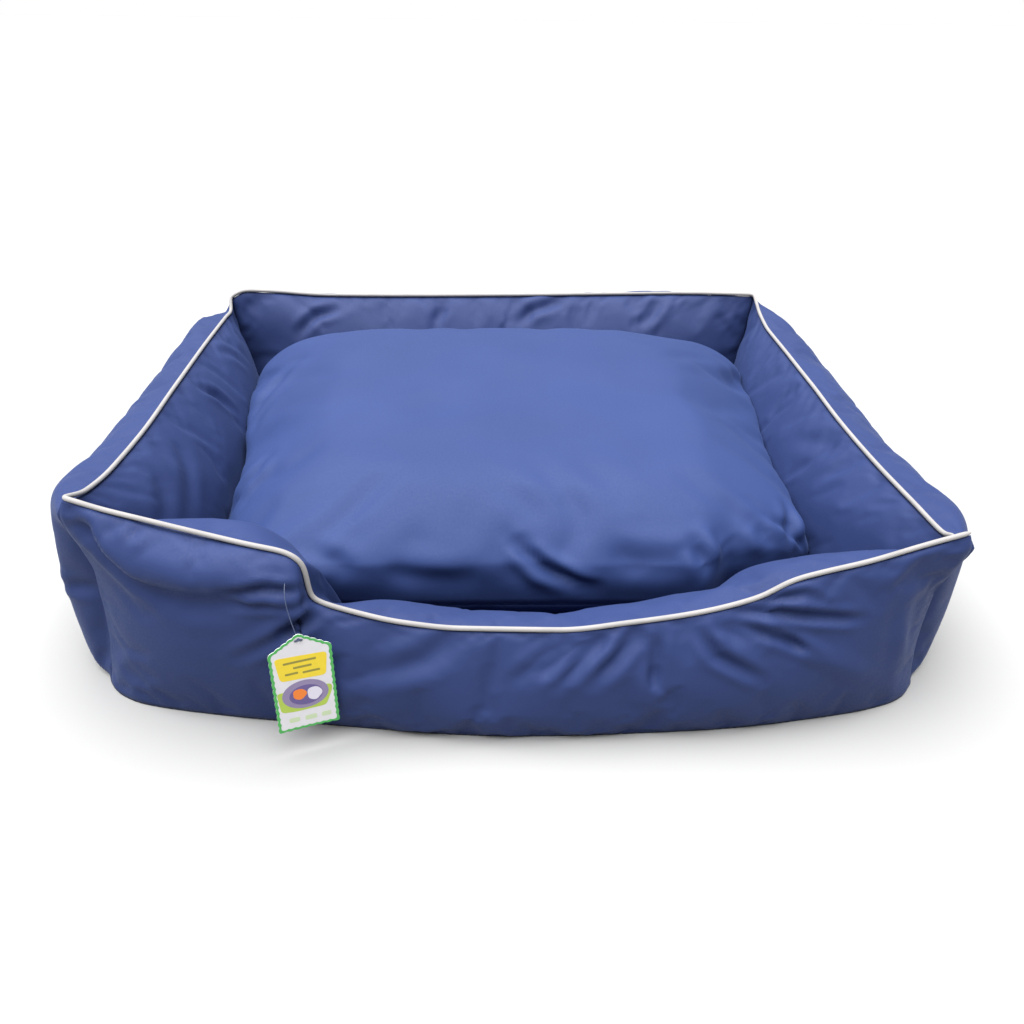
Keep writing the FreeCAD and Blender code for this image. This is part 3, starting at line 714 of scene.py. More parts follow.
def cloth_material(name, colour, pitch=0.9 * MM, sheen=0.05, use_map=True, softness=1.0):
    """Plain woven cloth: threads both ways with painted shade between them, faint slubs, dye variation,
    rubbed lighter patches.
    """
    n = Nodes(name, 0.6, 0.14)
    spot = n.coordinates()
    flat = n.coordinates("UV") if use_map else spot
    warp = n.waves(flat, pitch, "X")
    weft = n.waves(flat, pitch, "Y")
    weave = n.combine("MAXIMUM", warp, weft)
    slub = n.noise(flat, 420.0, 2.0)
    broad = n.noise(spot, 5.0, 3.0)
    fine = n.noise(spot, 60.0, 4.0, 0.6)
    base = n.dappled(broad, shade(colour, 0.93), shade(colour, 1.06))
    rub = n.ramp(fine, 0.62, 0.85, 0.0, 0.16)
    base = n.mix(rub, base, shade([blend(c, 0.2, 0.10) for c in colour], 1.1))
    # Painted shade: the cloth is darkened between the threads of the weave.
    thread_gap_shade = n.ramp(weave, 0.0, 0.5, 0.28, 0.0)
    base = n.mix(thread_gap_shade, base, shade(colour, 0.6))
    n.set("Base Color", base)
    n.set("Roughness", n.ramp(slub, 0.3, 0.7, 0.52, 0.68))
    n.set("Sheen Weight", sheen)
    n.set("Sheen Roughness", 0.4)
    n.set("Sheen Tint", (0.4, 0.55, 1.0, 1))
    soft = n.bump(n.noise(spot, 26.0, 4.0, 0.55), 1.6 * MM * softness, 0.5)
    weave_bump = n.bump(n.combine("ADD", weave, slub), 0.12 * MM, 0.5, soft)
    n.set("Normal", weave_bump)
    return n.material


def piping_material(name):
    """Off-white cotton bias tape: slanting twill ribs with painted shade in their grooves, and slightly
    soiled patches.
    """
    n = Nodes(name, 0.7, 0.3)
    ribs = n.waves(n.coordinates("UV"), 1.1 * MM, "DIAGONAL")
    patches = n.noise(n.coordinates(), 40.0, 3.0)
    # The second colour is real dirt on the patches and painted shade in the rib grooves.
    clean, grubby_and_rib_shade = (0.245, 0.235, 0.232, 1), (0.175, 0.17, 0.172, 1)
    base = n.mix(n.ramp(patches, 0.45, 0.8, 0.0, 0.5), clean, grubby_and_rib_shade)
    # Painted shade: the grooves between the twill ribs are darkened to the dirt colour.
    base = n.mix(n.ramp(ribs, 0.0, 0.4, 0.22, 0.0), base, grubby_and_rib_shade)
    n.set("Base Color", base)
    n.set("Sheen Weight", 0.15)
    n.set("Normal", n.bump(ribs, 0.25 * MM, 0.6))
    n.set("Roughness", n.ramp(patches, 0.3, 0.7, 0.62, 0.78))
    return n.material


def fibre_material(name, colour):
    """Loose white polyester fibre: clumped, matt."""
    n = Nodes(name, 0.95, 0.1)
    spot = n.coordinates()
    clumps = n.noise(spot, 70.0, 6.0, 0.7)
    n.set("Base Color", n.dappled(clumps, shade(colour, 0.8), shade(colour, 1.0)))
    n.set("Normal", n.bump(clumps, 3 * MM, 0.8))
    n.set("Roughness", n.ramp(clumps, 0.3, 0.7, 0.85, 1.0))
    return n.material


def metal_material(name, colour):
    """Plated zinc: bright, with fine brushed scratches and dull worn spots."""
    n = Nodes(name, 0.3, 0.5)
    spot = n.coordinates()
    stretched = n.add("ShaderNodeMapping", {"Vector": spot, "Scale": (200.0, 2000.0, 2000.0)}).outputs[0]
    scratch = n.noise(stretched, 1.0, 3.0)
    worn = n.noise(spot, 900.0, 3.0)
    n.set("Base Color", n.mix(n.ramp(worn, 0.45, 0.7, 0.0, 1.0), shade(colour, 1.0), shade(colour, 0.7)))
    n.set("Metallic", 1.0)
    n.set("Roughness", n.ramp(scratch, 0.3, 0.7, 0.24, 0.42))
    n.set("Normal", n.bump(scratch, 0.02 * MM, 0.3))
    return n.material


def grip_material(name):
    """Dark non-slip fabric with rows of raised rubber dots."""
    n = Nodes(name, 0.75, 0.3)
    spot = n.coordinates()
    dots = n.add("ShaderNodeTexVoronoi", {"Vector": spot, "Scale": 125.0, "Randomness": 0.0})
    round_dots = n.ramp(dots.outputs["Distance"], 0.22, 0.3, 1.0, 0.0)
    dye = n.noise(spot, 8.0, 3.0)
    cloth = n.dappled(dye, (0.012, 0.016, 0.035, 1), (0.02, 0.026, 0.05, 1))
    n.set("Base Color", n.mix(round_dots, cloth, (0.035, 0.035, 0.04, 1)))
    n.set("Roughness", n.ramp(round_dots, 0.0, 1.0, 0.85, 0.45))
    n.set("Normal", n.bump(round_dots, 0.5 * MM, 0.8))
    return n.material


def card_material(name, colour):
    """Printed card: faint paper fibre, ink mottle, slight gloss."""
    n = Nodes(name, 0.4, 0.4)
    spot = n.coordinates()
    fibre = n.noise(spot, 900.0, 4.0)
    mottle = n.noise(spot, 120.0, 3.0)
    n.set("Base Color", n.dappled(mottle, shade(colour, 0.95), shade(colour, 1.0)))
    n.set("Roughness", n.ramp(fibre, 0.3, 0.7, 0.35, 0.52))
    n.set("Normal", n.bump(fibre, 0.05 * MM, 0.3))
    return n.material


def nylon_material(name, colour):
    """Clear moulded nylon with a milky tint."""
    n = Nodes(name, 0.25, 0.5)
    spot = n.coordinates()
    cloud = n.noise(spot, 700.0, 2.0)
    n.set("Base Color", n.dappled(cloud, shade(colour, 0.85), shade(colour, 1.0)))
    n.set("Roughness", n.ramp(cloud, 0.3, 0.7, 0.2, 0.35))
    return n.material


WALL_BLUE = (0.0165, 0.0285, 0.094)
CUSHION_BLUE = (0.0185, 0.034, 0.110)
wall_cloth = cloth_material("wall_cloth", WALL_BLUE)
lining_cloth = cloth_material("lining_cloth", WALL_BLUE)
cushion_cloth = cloth_material("cushion_cloth", CUSHION_BLUE, softness=0.7)
piping_cloth = piping_material("piping_tape")
cord_cotton = cloth_material("piping_cord_cotton", (0.7, 0.68, 0.62), pitch=1.2 * MM)
white_fibre = fibre_material("white_fibre", (0.85, 0.86, 0.88))
grip_cloth = grip_material("non_slip_cloth")

# --- Wall pieces -----------------------------------------------------------------------------


def loop_solid(name, loops, body, material, replaced):
    """Closed solid through a row of closed loops of points, its ends closed by fans."""
    count, size = loops.shape[:2]
    points = list(loops.reshape(-1, 3)) + [loops[0].mean(axis=0), loops[-1].mean(axis=0)]
    faces = []
    for i in range(count - 1):
        for j in range(size):
            k = (j + 1) % size
            faces.append((i * size + j, (i + 1) * size + j, (i + 1) * size + k, i * size + k))
    last = (count - 1) * size
    for j in range(size):
        k = (j + 1) % size
        faces.append((j, k, count * size))
        faces.append((last + k, last + j, count * size + 1))
    return finish_piece(new_object(name, points, faces), body, material, replaced)


# Share of a panel's distance from the middle at which the loose fibre inside it lies.
STUFFING_SHARE = 0.66
STUFFING_INSET = 6 * MM


def add_walls():
    sides = (
        ("_wall_outer", 0, RIM_ROW, wall_cloth, "wall_fabric"),
        ("_wall_inner", RIM_ROW, LAST_ROW, lining_cloth, "lining_fabric"),
    )
    for wall in WALLS:
        for side, low, high, material, slot in sides:
            grid, _ = wall_grid(wall, low, high)
            panel = cloth_panel(wall + side, grid, "bed", material, [wall + side + "_panel"])
        grid, normals = wall_grid(wall, 0, LAST_ROW)
        stuffing = (grid - normals * STUFFING_INSET)[8:-8:6, 2:-2:4]
        stuffing = blend(stuffing.mean(axis=1, keepdims=True), stuffing, STUFFING_SHARE)
        name, stands_for = wall + "_wall_stuffing", wall + "_wall_filling"
        filling = loop_solid(name, stuffing, "bed", white_fibre, [stands_for])


add_walls()

# --- Piping ----------------------------------------------------------------------------------

PIPING_RADIUS = 2.6 * MM
PIPING_LIFT = 3.0 * MM
PIPING_CORE_RADIUS = 1.8 * MM
# Share of its radius to which a tube narrows at its ends, and how far its end caps stand out.
END_SHARE, CAP_SHARE = 0.55, 0.3


def rim_line():
    """The rim from the front right corner, round by the left, to the end behind the front piping."""
    points = []
    for wall in ("front", "left", "back", "right"):
        for place in even_places(wall, 5 * MM)[:0:-1]:
            points.append(rim_at(wall, place))
    points = np.array(points)[:-4]
    for _ in range(2):
        points[1:-1] = (points[:-2] + 2 * points[1:-1] + points[2:]) / 4
    return points


def tube_frames(line):
    """Way along, way sideways and way up at each point of a line."""
    along = np.gradient(line, axis=0)
    along /= np.linalg.norm(along, axis=1, keepdims=True)
    up = np.array([0, 0, 1.0]) - along * along[:, 2:3]
    up /= np.linalg.norm(up, axis=1, keepdims=True)
    return along, np.cross(along, up), up


def tube(name, line, radius, sides, material, replaced, levels):
    """Round closed tube of the bed along a line of points, with a map in metres along and round it."""
    along, side, up = tube_frames(line)
    turn = np.linspace(0, 2 * math.pi, sides + 1)
    shrink = np.ones(len(line))
    shrink[[0, -1]] = END_SHARE
    ring_shape = side[:, None] * np.cos(turn)[None, :, None] + up[:, None] * np.sin(turn)[None, :, None]
    grid = line[:, None] + ring_shape * radius * shrink[:, None, None]
    points = list(grid[:, :-1].reshape(-1, 3))
    points.append(line[0] - along[0] * radius * CAP_SHARE)
    points.append(line[-1] + along[-1] * radius * CAP_SHARE)
    faces, flat = [], []
    run = run_along(line)
    for i in range(len(line) - 1):
        for j in range(sides):
            k = (j + 1) % sides
            faces.append((i * sides + j, i * sides + k, (i + 1) * sides + k, (i + 1) * sides + j))
            for a, b in ((i, j), (i, j + 1), (i + 1, j + 1), (i + 1, j)):
                flat.append((run[a], b * 2 * math.pi * radius / sides))
    last = (len(line) - 1) * sides
    for j in range(sides):
        k = (j + 1) % sides
        faces.append((k, j, len(points) - 2))
        faces.append((last + j, last + k, len(points) - 1))
        flat.extend([(0, 0)] * 3)
        flat.extend([(run[-1], 0)] * 3)
    obj = new_object(name, points, faces)
    layer = obj.data.uv_layers.new(name="cloth")
    layer.data.foreach_set("uv", np.array(flat, float).reshape(-1))
    if levels:
        fine = obj.modifiers.new("fine", "SUBSURF")
        fine.levels = fine.render_levels = levels
    finish_piece(obj, "bed", material, replaced)


def add_piping():
    line = rim_line()
    _, _, up = tube_frames(line)
    line = line + up * PIPING_LIFT
    tube("rim_piping", line, PIPING_RADIUS, 12, piping_cloth, ["rim_piping_sleeve"], 1)
    core = line[1:-1:2]
    tube("rim_piping_core", core, PIPING_CORE_RADIUS, 8, cord_cotton, ["rim_piping_cord"], 0)


add_piping()

# --- Base ------------------------------------------------------------------------------------


def disc_grid(outline, shares, level, wobble, seed):
    """Rings of points from an outline in to its middle, at one level."""
    middle = outline[:, :2].mean(axis=0)
    grid = np.zeros((len(shares), len(outline), 3))
    for k, share in enumerate(shares):
        grid[k, :, :2] = middle + (outline[:, :2] - middle) * share
    uneven = smooth_noise(grid, 22, seed).reshape(grid.shape[:2])
    grid[..., 2] = level + wobble * uneven * (np.array(shares) < 0.99)[:, None]
    return grid


def shrunk(outline, gap):
    """Outline moved inward by a gap, by scaling each side of its box."""
    low, high = outline[:, :2].min(axis=0), outline[:, :2].max(axis=0)
    middle = (low + high) / 2
    factor = ((high - low) / 2 - gap) / ((high - low) / 2)
    out = outline.copy()
    out[:, :2] = middle + (outline[:, :2] - middle) * factor
    return out


DISC_SHARES = [1.0, 0.985, 0.95] + [0.9 - 0.05 * k for k in range(18)]


def base_sheet(name, outline, level, thickness, wobble, seed, material, replaced):
    """Thin flat panel of cloth inside an outline."""
    grid = disc_grid(outline, DISC_SHARES, level + thickness, wobble, seed)
    size = len(outline)
    points = np.concatenate([grid.reshape(-1, 3), grid[-1:].mean(axis=1)])
    faces = []
    for k in range(len(DISC_SHARES)):
        for j in range(size):
            m = (j + 1) % size
            a, b = k * size, (k + 1) * size
            at_middle = k == len(DISC_SHARES) - 1
            faces.append((a + j, a + m, len(points) - 1) if at_middle else (a + j, a + m, b + m, b + j))
    obj = new_object(name, points, faces)
    set_map(obj, points[:, :2])
    add_thickness(obj, thickness)
    piece = finish_piece(obj, "bed", material, [replaced])


COVER_GAP = 0.5 * MM
FLOOR_GAP = 0.6 * MM
PAD_GAP = 4 * MM
# How far the pad's edges are rounded off, and how uneven the floor is.
PAD_ROUND = 2 * MM
UNEVEN = 0.25 * MM


def add_base():
    low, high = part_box("bottom_panel")
    outline = shrunk(ring[::2, 0], COVER_GAP)
    base_sheet(
        "bottom_cover", outline, low.z, high.z - low.z, 0.0, 1, grip_cloth, "bottom_panel"
    )
    low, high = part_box("floor_panel")
    inside = ring[::4, -1]
    outline = shrunk(inside, FLOOR_GAP)
    base_sheet(
        "floor_cover", outline, low.z, high.z - low.z, UNEVEN, 2, lining_cloth, "floor_panel"
    )
    low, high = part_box("base_pad")
    outline = shrunk(inside, PAD_GAP)
    rounded_off = shrunk(outline, PAD_ROUND)
    under = disc_grid(rounded_off, DISC_SHARES, low.z, 0.0, 3)
    side_low = disc_grid(outline, [1.0], low.z + PAD_ROUND, 0.0, 3)
    side_high = disc_grid(outline, [1.0], high.z - PAD_ROUND, 0.0, 3)
    over = disc_grid(rounded_off, DISC_SHARES, high.z - 0.2 * MM, 0.2 * MM, 4)
    loops = np.concatenate([over[::-1], side_high, side_low, under])
    pad = loop_solid("base_wadding", loops, "bed", white_fibre, ["base_pad"])


add_base()

# --- Cushion ---------------------------------------------------------------------------------

SEAM = (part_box("zip_coil_upper")[0].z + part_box("zip_coil_lower")[1].z) / 2
CUSHION_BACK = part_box("zip_tape_upper")[1].y
CUSHION_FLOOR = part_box("cushion_bottom_panel")[0].z + 0.5 * MM
ZIP_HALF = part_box("zip_tape_upper")[1].x
# Outline of the cushion's seam in plan, in mm: front to back along the left and the right side.
LEFT_SIDE = ((-1, -324), (-0.6, -342), (0, -354), (0.6, -358), (1, -356))
RIGHT_SIDE = ((-1, 344), (-0.6, 353), (0, 354), (0.6, 350), (1, 340))
FRONT_EDGE = -290
# Cells of the cloth grid across and back, and the share of a half turn that crowds them to the seam.
ACROSS, DEEP = 88, 74
CROWDING = 0.86
# Height of the crown over the seam in mm, front to back, along the left, the middle and the right.
CROWN = (
    (-1.0, 58, 60, 72), (-0.8, 66, 69, 78), (-0.5, 74, 80, 82), (0.0, 86, 96, 86), (0.4, 100, 110, 98),
    (0.8, 114, 121, 110), (1.0, 116, 123, 110),
)
SEAM_DROP = ((-1.0, 42), (-0.8, 30), (-0.5, 14), (0.2, 4), (1.0, 0))


def cushion_plan(u, v):
    """Place in plan for a share across (-1 left to 1 right) and a share back (-1 to 1)."""
    across = u * math.sqrt(1 - 0.17 * v**8)
    deep = v * math.sqrt(1 - 0.15 * u**8)
    left = curve_through(LEFT_SIDE, deep)[0]
    right = curve_through(RIGHT_SIDE, deep)[0]
    x = blend(left, right, (across + 1) / 2) * MM
    y = blend(FRONT_EDGE * MM, CUSHION_BACK, (deep + 1) / 2)
    return x, y


def crowded(step, steps):
    """Place from -1 to 1 of a grid line, with the lines closer together towards both ends."""
    return math.sin((2 * step / steps - 1) * math.pi / 2 * CROWDING) / math.sin(math.pi / 2 * CROWDING)


def cushion_sheet(top):
    """One face of the cushion: rows run across, from the front to the back."""
    grid = np.zeros((ACROSS + 1, DEEP + 1, 3))
    for i in range(ACROSS + 1):
        u = crowded(i, ACROSS)
        for j in range(DEEP + 1):
            v = crowded(j, DEEP)
            x, y = cushion_plan(u, v)
            squareness = 20 if v < 0 else 11
            side_power = blend(5, 7.5, max(0, v))
            full = math.sqrt(max(0, 1 - abs(u) ** side_power)) * math.sqrt(max(0, 1 - abs(v) ** squareness))
            seam = SEAM - curve_through(SEAM_DROP, v)[0] * MM
            left, middle, right = curve_through(CROWN, v)
            crown = blend(middle, left if u < 0 else right, abs(u) ** 2) * MM
            if top:
                z = seam + crown * full
            else:
                z = max(CUSHION_FLOOR + 1.5 * MM * (1 - full), seam - 0.125 * full)
            grid[i, j] = x, y, z
    return grid


def inner_wall_tree():
    inner = ring[::2, RIM_ROW::2]
    faces = grid_faces(*inner.shape[:2], True)
    points = inner.reshape(-1, 3)
    return BVHTree.FromPolygons([tuple(p) for p in points], faces)


# The cushion clears the walls by this gap, above the level where both curve in to the floor.
WALL_GAP = 2.0 * MM
CLEAR_LEVEL = 30 * MM
SEARCH_REACH = 80 * MM


def keep_inside(grid, tree):
    """Moves points of the cushion off the stuffed walls."""
    out = grid.reshape(-1, 3).copy()
    for k, point in enumerate(out):
        if point[2] < CLEAR_LEVEL:
            continue
        near, way, _, _ = tree.find_nearest(Vector(point), SEARCH_REACH)
        if near is None:
            continue
        side = (Vector(point) - near).dot(way)
        if side < WALL_GAP:
            out[k] = near + way * WALL_GAP
    return out.reshape(grid.shape)


def seam_mask():
    mask = np.zeros((ACROSS + 1, DEEP + 1), bool)
    mask[[0, -1], :] = True
    mask[:, [0, -1]] = True
    return mask


CUSHION_WOBBLE = 2.5 * MM
CUSHION_MOST_MOVE = 20 * MM


def stuff_cushion():
    """Fills the cushion with the cloth solver, held at its seam; returns the top and bottom grids."""
    top, bottom = cushion_sheet(True), cushion_sheet(False)
    seam = seam_mask()
    size = seam.size
    on_seam = seam.reshape(-1)
    shared = np.arange(size) + np.where(on_seam, 0, size)
    points = np.concatenate([top.reshape(-1, 3), bottom.reshape(-1, 3)])
    faces = grid_faces(*seam.shape)
    faces = faces + [tuple(int(shared[k]) for k in face[::-1]) for face in faces]
    i = np.arange(ACROSS + 1)[:, None]
    j = np.arange(DEEP + 1)[None, :]
    from_seam = np.minimum(np.minimum(i, ACROSS - i), np.minimum(j, DEEP - j))
    ease = 0.12 + 0.88 * np.exp(-((from_seam / 5.0) ** 2))
    wobble = smooth_noise(points, 13, 5) * CUSHION_WOBBLE
    points[:, 2] += wobble * np.concatenate([~on_seam, np.zeros(size, bool)])
    held = np.flatnonzero(np.tile(on_seam, 2))
    moved = simulate(
        points, faces, np.tile(ease.reshape(-1), 2), held,
        frames=20, pressure=2.2, stiffness=20, bending=0.25, most_ease=0.09,
    )
    moved = capped(points, moved, CUSHION_MOST_MOVE)
    new_top = moved[:size].reshape(top.shape)
    new_bottom = moved[size:].reshape(top.shape)
    new_top, new_bottom = smoothed(new_top, 2), smoothed(new_bottom, 2)
    new_bottom[seam] = new_top[seam]
    new_bottom[..., 2] = np.maximum(new_bottom[..., 2], CUSHION_FLOOR)
    return new_top, new_bottom


cushion_top, cushion_bottom = [refined(face) for face in stuff_cushion()]

# How far each side swells out over the seam, as a share of its width, at places front to back.
SWELL_PLACES = (-150 * MM, 0, 110 * MM, 170 * MM, 240 * MM)
LEFT_SWELL = (0.015, 0.05, 0.09, 0.11, 0.12)
RIGHT_SWELL = (0.01, 0.03, 0.06, 0.09, 0.12)


def swollen(grid):
    """Lets the full sides spread over the seam, most towards the back."""
    out = grid.copy()
    left = np.interp(grid[..., 1], SWELL_PLACES, LEFT_SWELL)
    right = np.interp(grid[..., 1], SWELL_PLACES, RIGHT_SWELL)
    share = np.where(grid[..., 0] < 0, left, right)
    rise = smooth_step((grid[..., 2] - 85 * MM) / (50 * MM))
    out[..., 0] *= 1 + share * rise * np.minimum(1.0, (grid[..., 0] / (330 * MM)) ** 2)
    return out


# The lip: its level, how much higher it is at the right, how far that part of the front stands
# back, and the slope at which the front runs in below it.
LIP_LEVEL, LIP_RISE = 114 * MM, 18 * MM
LIP_BACK = 24 * MM
LIP_SLOPE = 0.55


def undercut(grid):
    """Draws the cushion's front in below its lip, and further back towards its right end."""
    out = grid.copy()
    right = smooth_step((grid[..., 0] - 200 * MM) / (45 * MM))
    front = smooth_step((-140 * MM - grid[..., 1]) / (120 * MM))
    out[..., 1] += right * LIP_BACK * smooth_step((-175 * MM - grid[..., 1]) / (85 * MM))
    lip = LIP_LEVEL + right * LIP_RISE
    out[..., 1] += LIP_SLOPE * front * np.clip(lip - grid[..., 2], 0, None)
    return out


cushion_top, cushion_bottom = undercut(swollen(cushion_top)), undercut(swollen(cushion_bottom))

# Folds of the cushion's top: path in mm, width and depth of the groove in mm.
CUSHION_FOLDS = (
    # Left edge: the wedge near the front and the dents near the back.
    (((-292, -80, 148), (-304, -93, 138), (-322, -105, 119), (-338, -116, 98)), 9, 12),
    (((-365, 60, 130), (-340, 110, 160), (-300, 160, 186)), 13, 6),
    (((-360, 20, 140), (-330, 60, 150), (-305, 75, 162)), 9, 3),
    # Front: the lip sags between deep folds.
    (
        ((8, -243, 131), (13, -251, 122), (24, -260, 113), (42, -265, 103), (64, -266, 93), (90, -266, 85)),
        7, 13,
    ),
    (((0, -253, 120), (22, -264, 98), (44, -266, 87)), 7, -6),
    (((-8, -235, 138), (3, -249, 123), (12, -258, 111)), 6, 4),
    (((-226, -246, 123), (-199, -257, 116), (-170, -264, 106)), 10, 4),
    (((-144, -267, 102), (-92, -266, 96), (-38, -264, 92)), 13, 5),
    (((196, -252, 134), (204, -262, 118), (212, -266, 100)), 9, 9),
    (((204, -236, 142), (213, -250, 128), (224, -258, 114)), 8, -5),
    (((245, -238, 134), (256, -244, 122), (262, -246, 108)), 10, 5),
    (((270, -214, 138), (282, -226, 126), (292, -230, 112)), 10, 5),
    (((322, -150, 130), (334, -180, 116), (336, -200, 106)), 9, -4),
    (((314, -165, 130), (318, -185, 122), (317, -210, 112)), 8, 5),
    (((100, -258, 122), (137, -260, 114), (185, -262, 112)), 14, 5),
    # Soft slanting wrinkles over the top.
    (((-28, -183, 177), (6, -208, 165), (36, -229, 150)), 14, 3),
    (((24, -162, 183), (55, -201, 169), (81, -235, 147)), 16, 3),
    (((60, -150, 186), (100, -190, 172), (130, -225, 154)), 18, 2),
    (((-150, -60, 196), (-60, -20, 204)), 24, 1.5),
)
for path, width, depth in CUSHION_FOLDS:
    cushion_top = crease(cushion_top, grid_normals(cushion_top), path, width, depth)
cushion_top = smoothed(cushion_top, 2)

walls_tree = inner_wall_tree()
cushion_top = keep_inside(cushion_top, walls_tree)
cushion_bottom = keep_inside(cushion_bottom, walls_tree)
cushion_bottom[[0, -1]], cushion_bottom[:, [0, -1]] = cushion_top[[0, -1]], cushion_top[:, [0, -1]]

# How far each panel's edge is parted from the seam, and how far from the seam it still moves.
ZIP_GAP = 9.5 * MM
ZIP_BAND = 40 * MM


def open_for_zip(grid, side):
    """Parts the back seam to show the zip: a panel's edge moves on to the outer half of its tape."""
    out = grid.copy()
    share = smooth_step((ZIP_HALF - 0.5 * MM - np.abs(grid[..., 0])) / (6 * MM)) * (grid[..., 1] > 0.2)
    near = np.clip(1 - side * (grid[..., 2] - SEAM) / ZIP_BAND, 0, 1)
    out[..., 1] += share * near * 1.2 * MM
    out[..., 2] += share * near * ZIP_GAP * side
    return out


cushion_top, cushion_bottom = open_for_zip(cushion_top, 1), open_for_zip(cushion_bottom, -1)


def add_cushion():
    sides = (
        ("cushion_top", cushion_top, "cushion_top_panel"),
        ("cushion_underside", cushion_bottom[::-1], "cushion_bottom_panel"),
    )
    for name, grid, stands_for in sides:
        panel = cloth_panel(name, grid, "cushion", cushion_cloth, [stands_for])
    upper = cushion_top[20:-20:6, 30:-12:6]
    lower = cushion_bottom[20:-20:6, 30:-12:6]
    middle = (upper + lower) / 2
    upper, lower = blend(middle, upper, 0.6), blend(middle, lower, 0.8)
    rows, columns = upper.shape[:2]
    points = np.concatenate([upper.reshape(-1, 3), lower.reshape(-1, 3)])
    faces = grid_faces(rows, columns)
    size = rows * columns
    faces = faces + [tuple(k + size for k in face[::-1]) for face in faces]
    index = np.arange(size).reshape(rows, columns)
    rim = [*index[:, 0], *index[-1, 1:], *index[-2::-1, -1], *index[0, -2:0:-1]]
    for a, b in zip(rim, rim[1:] + rim[:1]):
        faces.append((a, a + size, b + size, b))
    filling = new_object("cushion_stuffing", points, faces)
    finish_piece(filling, "cushion", white_fibre, ["cushion_filling"])


add_cushion()

# --- Zip -------------------------------------------------------------------------------------

TAPE_LOW, TAPE_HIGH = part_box("zip_tape_upper")
COIL_LOW, COIL_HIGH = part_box("zip_coil_upper")
TOOTH_PITCH = 2.0 * MM
WIRE_RADIUS = 0.22 * MM


def add_tapes():
    """Both woven tapes of the zip as one piece."""
    points, faces = [], []
    across = np.linspace(TAPE_LOW.z - SEAM, TAPE_HIGH.z - SEAM, 9)
    along = np.linspace(TAPE_LOW.x, TAPE_HIGH.x, 201)
    for side in (1, -1):
        grid = np.zeros((len(along), len(across), 3))
        grid[..., 0] = along[:, None]
        grid[..., 1] = TAPE_HIGH.y + smooth_noise(grid, 40, 6).reshape(grid.shape[:2]) * 0.05 * MM
        grid[..., 2] = SEAM + side * across[None, :]
        start = len(points)
        points.extend(grid.reshape(-1, 3))
        for face in grid_faces(*grid.shape[:2]):
            face = face if side < 0 else face[::-1]
            faces.append(tuple(start + k for k in face))
    obj = new_object("zip_tapes", points, faces)
    set_map(obj, np.array(points)[:, [0, 2]])
    add_thickness(obj, TAPE_HIGH.y - TAPE_LOW.y)
    finish_piece(obj, "cushion", tape_cloth, ["zip_tape_upper", "zip_tape_lower"])


def coil_shape(name, middle, turn_start, node):
    """Nylon coil of the zip: one wire wound along it, a tooth on each turn."""
    half = (COIL_HIGH.z - COIL_LOW.z) / 2 - WIRE_RADIUS
    deep = (COIL_HIGH.y - COIL_LOW.y) / 2 - WIRE_RADIUS
    back = (COIL_LOW.y + COIL_HIGH.y) / 2
    turns = int((COIL_HIGH.x - COIL_LOW.x - 4 * WIRE_RADIUS) / TOOTH_PITCH)
    curve = bpy.data.curves.new(name, "CURVE")
    curve.dimensions = "3D"
    curve.bevel_depth = WIRE_RADIUS
    curve.bevel_resolution = 1
    curve.resolution_u = 2
    curve.use_fill_caps = True
    spline = curve.splines.new("NURBS")
    spline.points.add(turns * 8)
    for k, point in enumerate(spline.points):
        turn = turn_start + k * math.pi / 4
        x = -turns * TOOTH_PITCH / 2 + k * TOOTH_PITCH / 8
        point.co = (x, back + deep * math.cos(turn), middle + half * math.sin(turn), 1)
    spline.order_u = 3
    spline.use_endpoint_u = True
    work = bpy.data.objects.new(name + "_work", curve)
    bpy.context.scene.collection.objects.link(work)
    graph = bpy.context.evaluated_depsgraph_get()
    mesh = bpy.data.meshes.new_from_object(work.evaluated_get(graph))
    bpy.data.objects.remove(work)
    mesh.polygons.foreach_set("use_smooth", [True] * len(mesh.polygons))
    obj = bpy.data.objects.new(name, mesh)
    bpy.context.scene.collection.objects.link(obj)
    finish_piece(obj, "cushion", coil_nylon, [node])


tape_cloth = cloth_material("zip_tape_cloth", shade(WALL_BLUE, 0.8)[:3], pitch=0.6 * MM)
coil_nylon = nylon_material("zip_coil_nylon", (0.02, 0.03, 0.08))
add_tapes()
coil_middle = (COIL_LOW.z + COIL_HIGH.z) / 2
coil_shape("zip_teeth_upper", coil_middle, 0.0, "zip_coil_upper")
coil_shape("zip_teeth_lower", 2 * SEAM - coil_middle, math.pi, "zip_coil_lower")

# --- Stitching -------------------------------------------------------------------------------

STITCH_LENGTH = 2.8 * MM
STITCH_GAP = 1.0 * MM
THREAD_RADIUS = 0.28 * MM
# Shape of one stitch: share of its length, share of its thickness, and rise in thread radii.
STITCH_SHAPE = ((0, 0.35, -0.4), (0.12, 0.9, 0.5), (0.5, 1.0, 0.8), (0.88, 0.9, 0.5), (1.0, 0.35, -0.4))


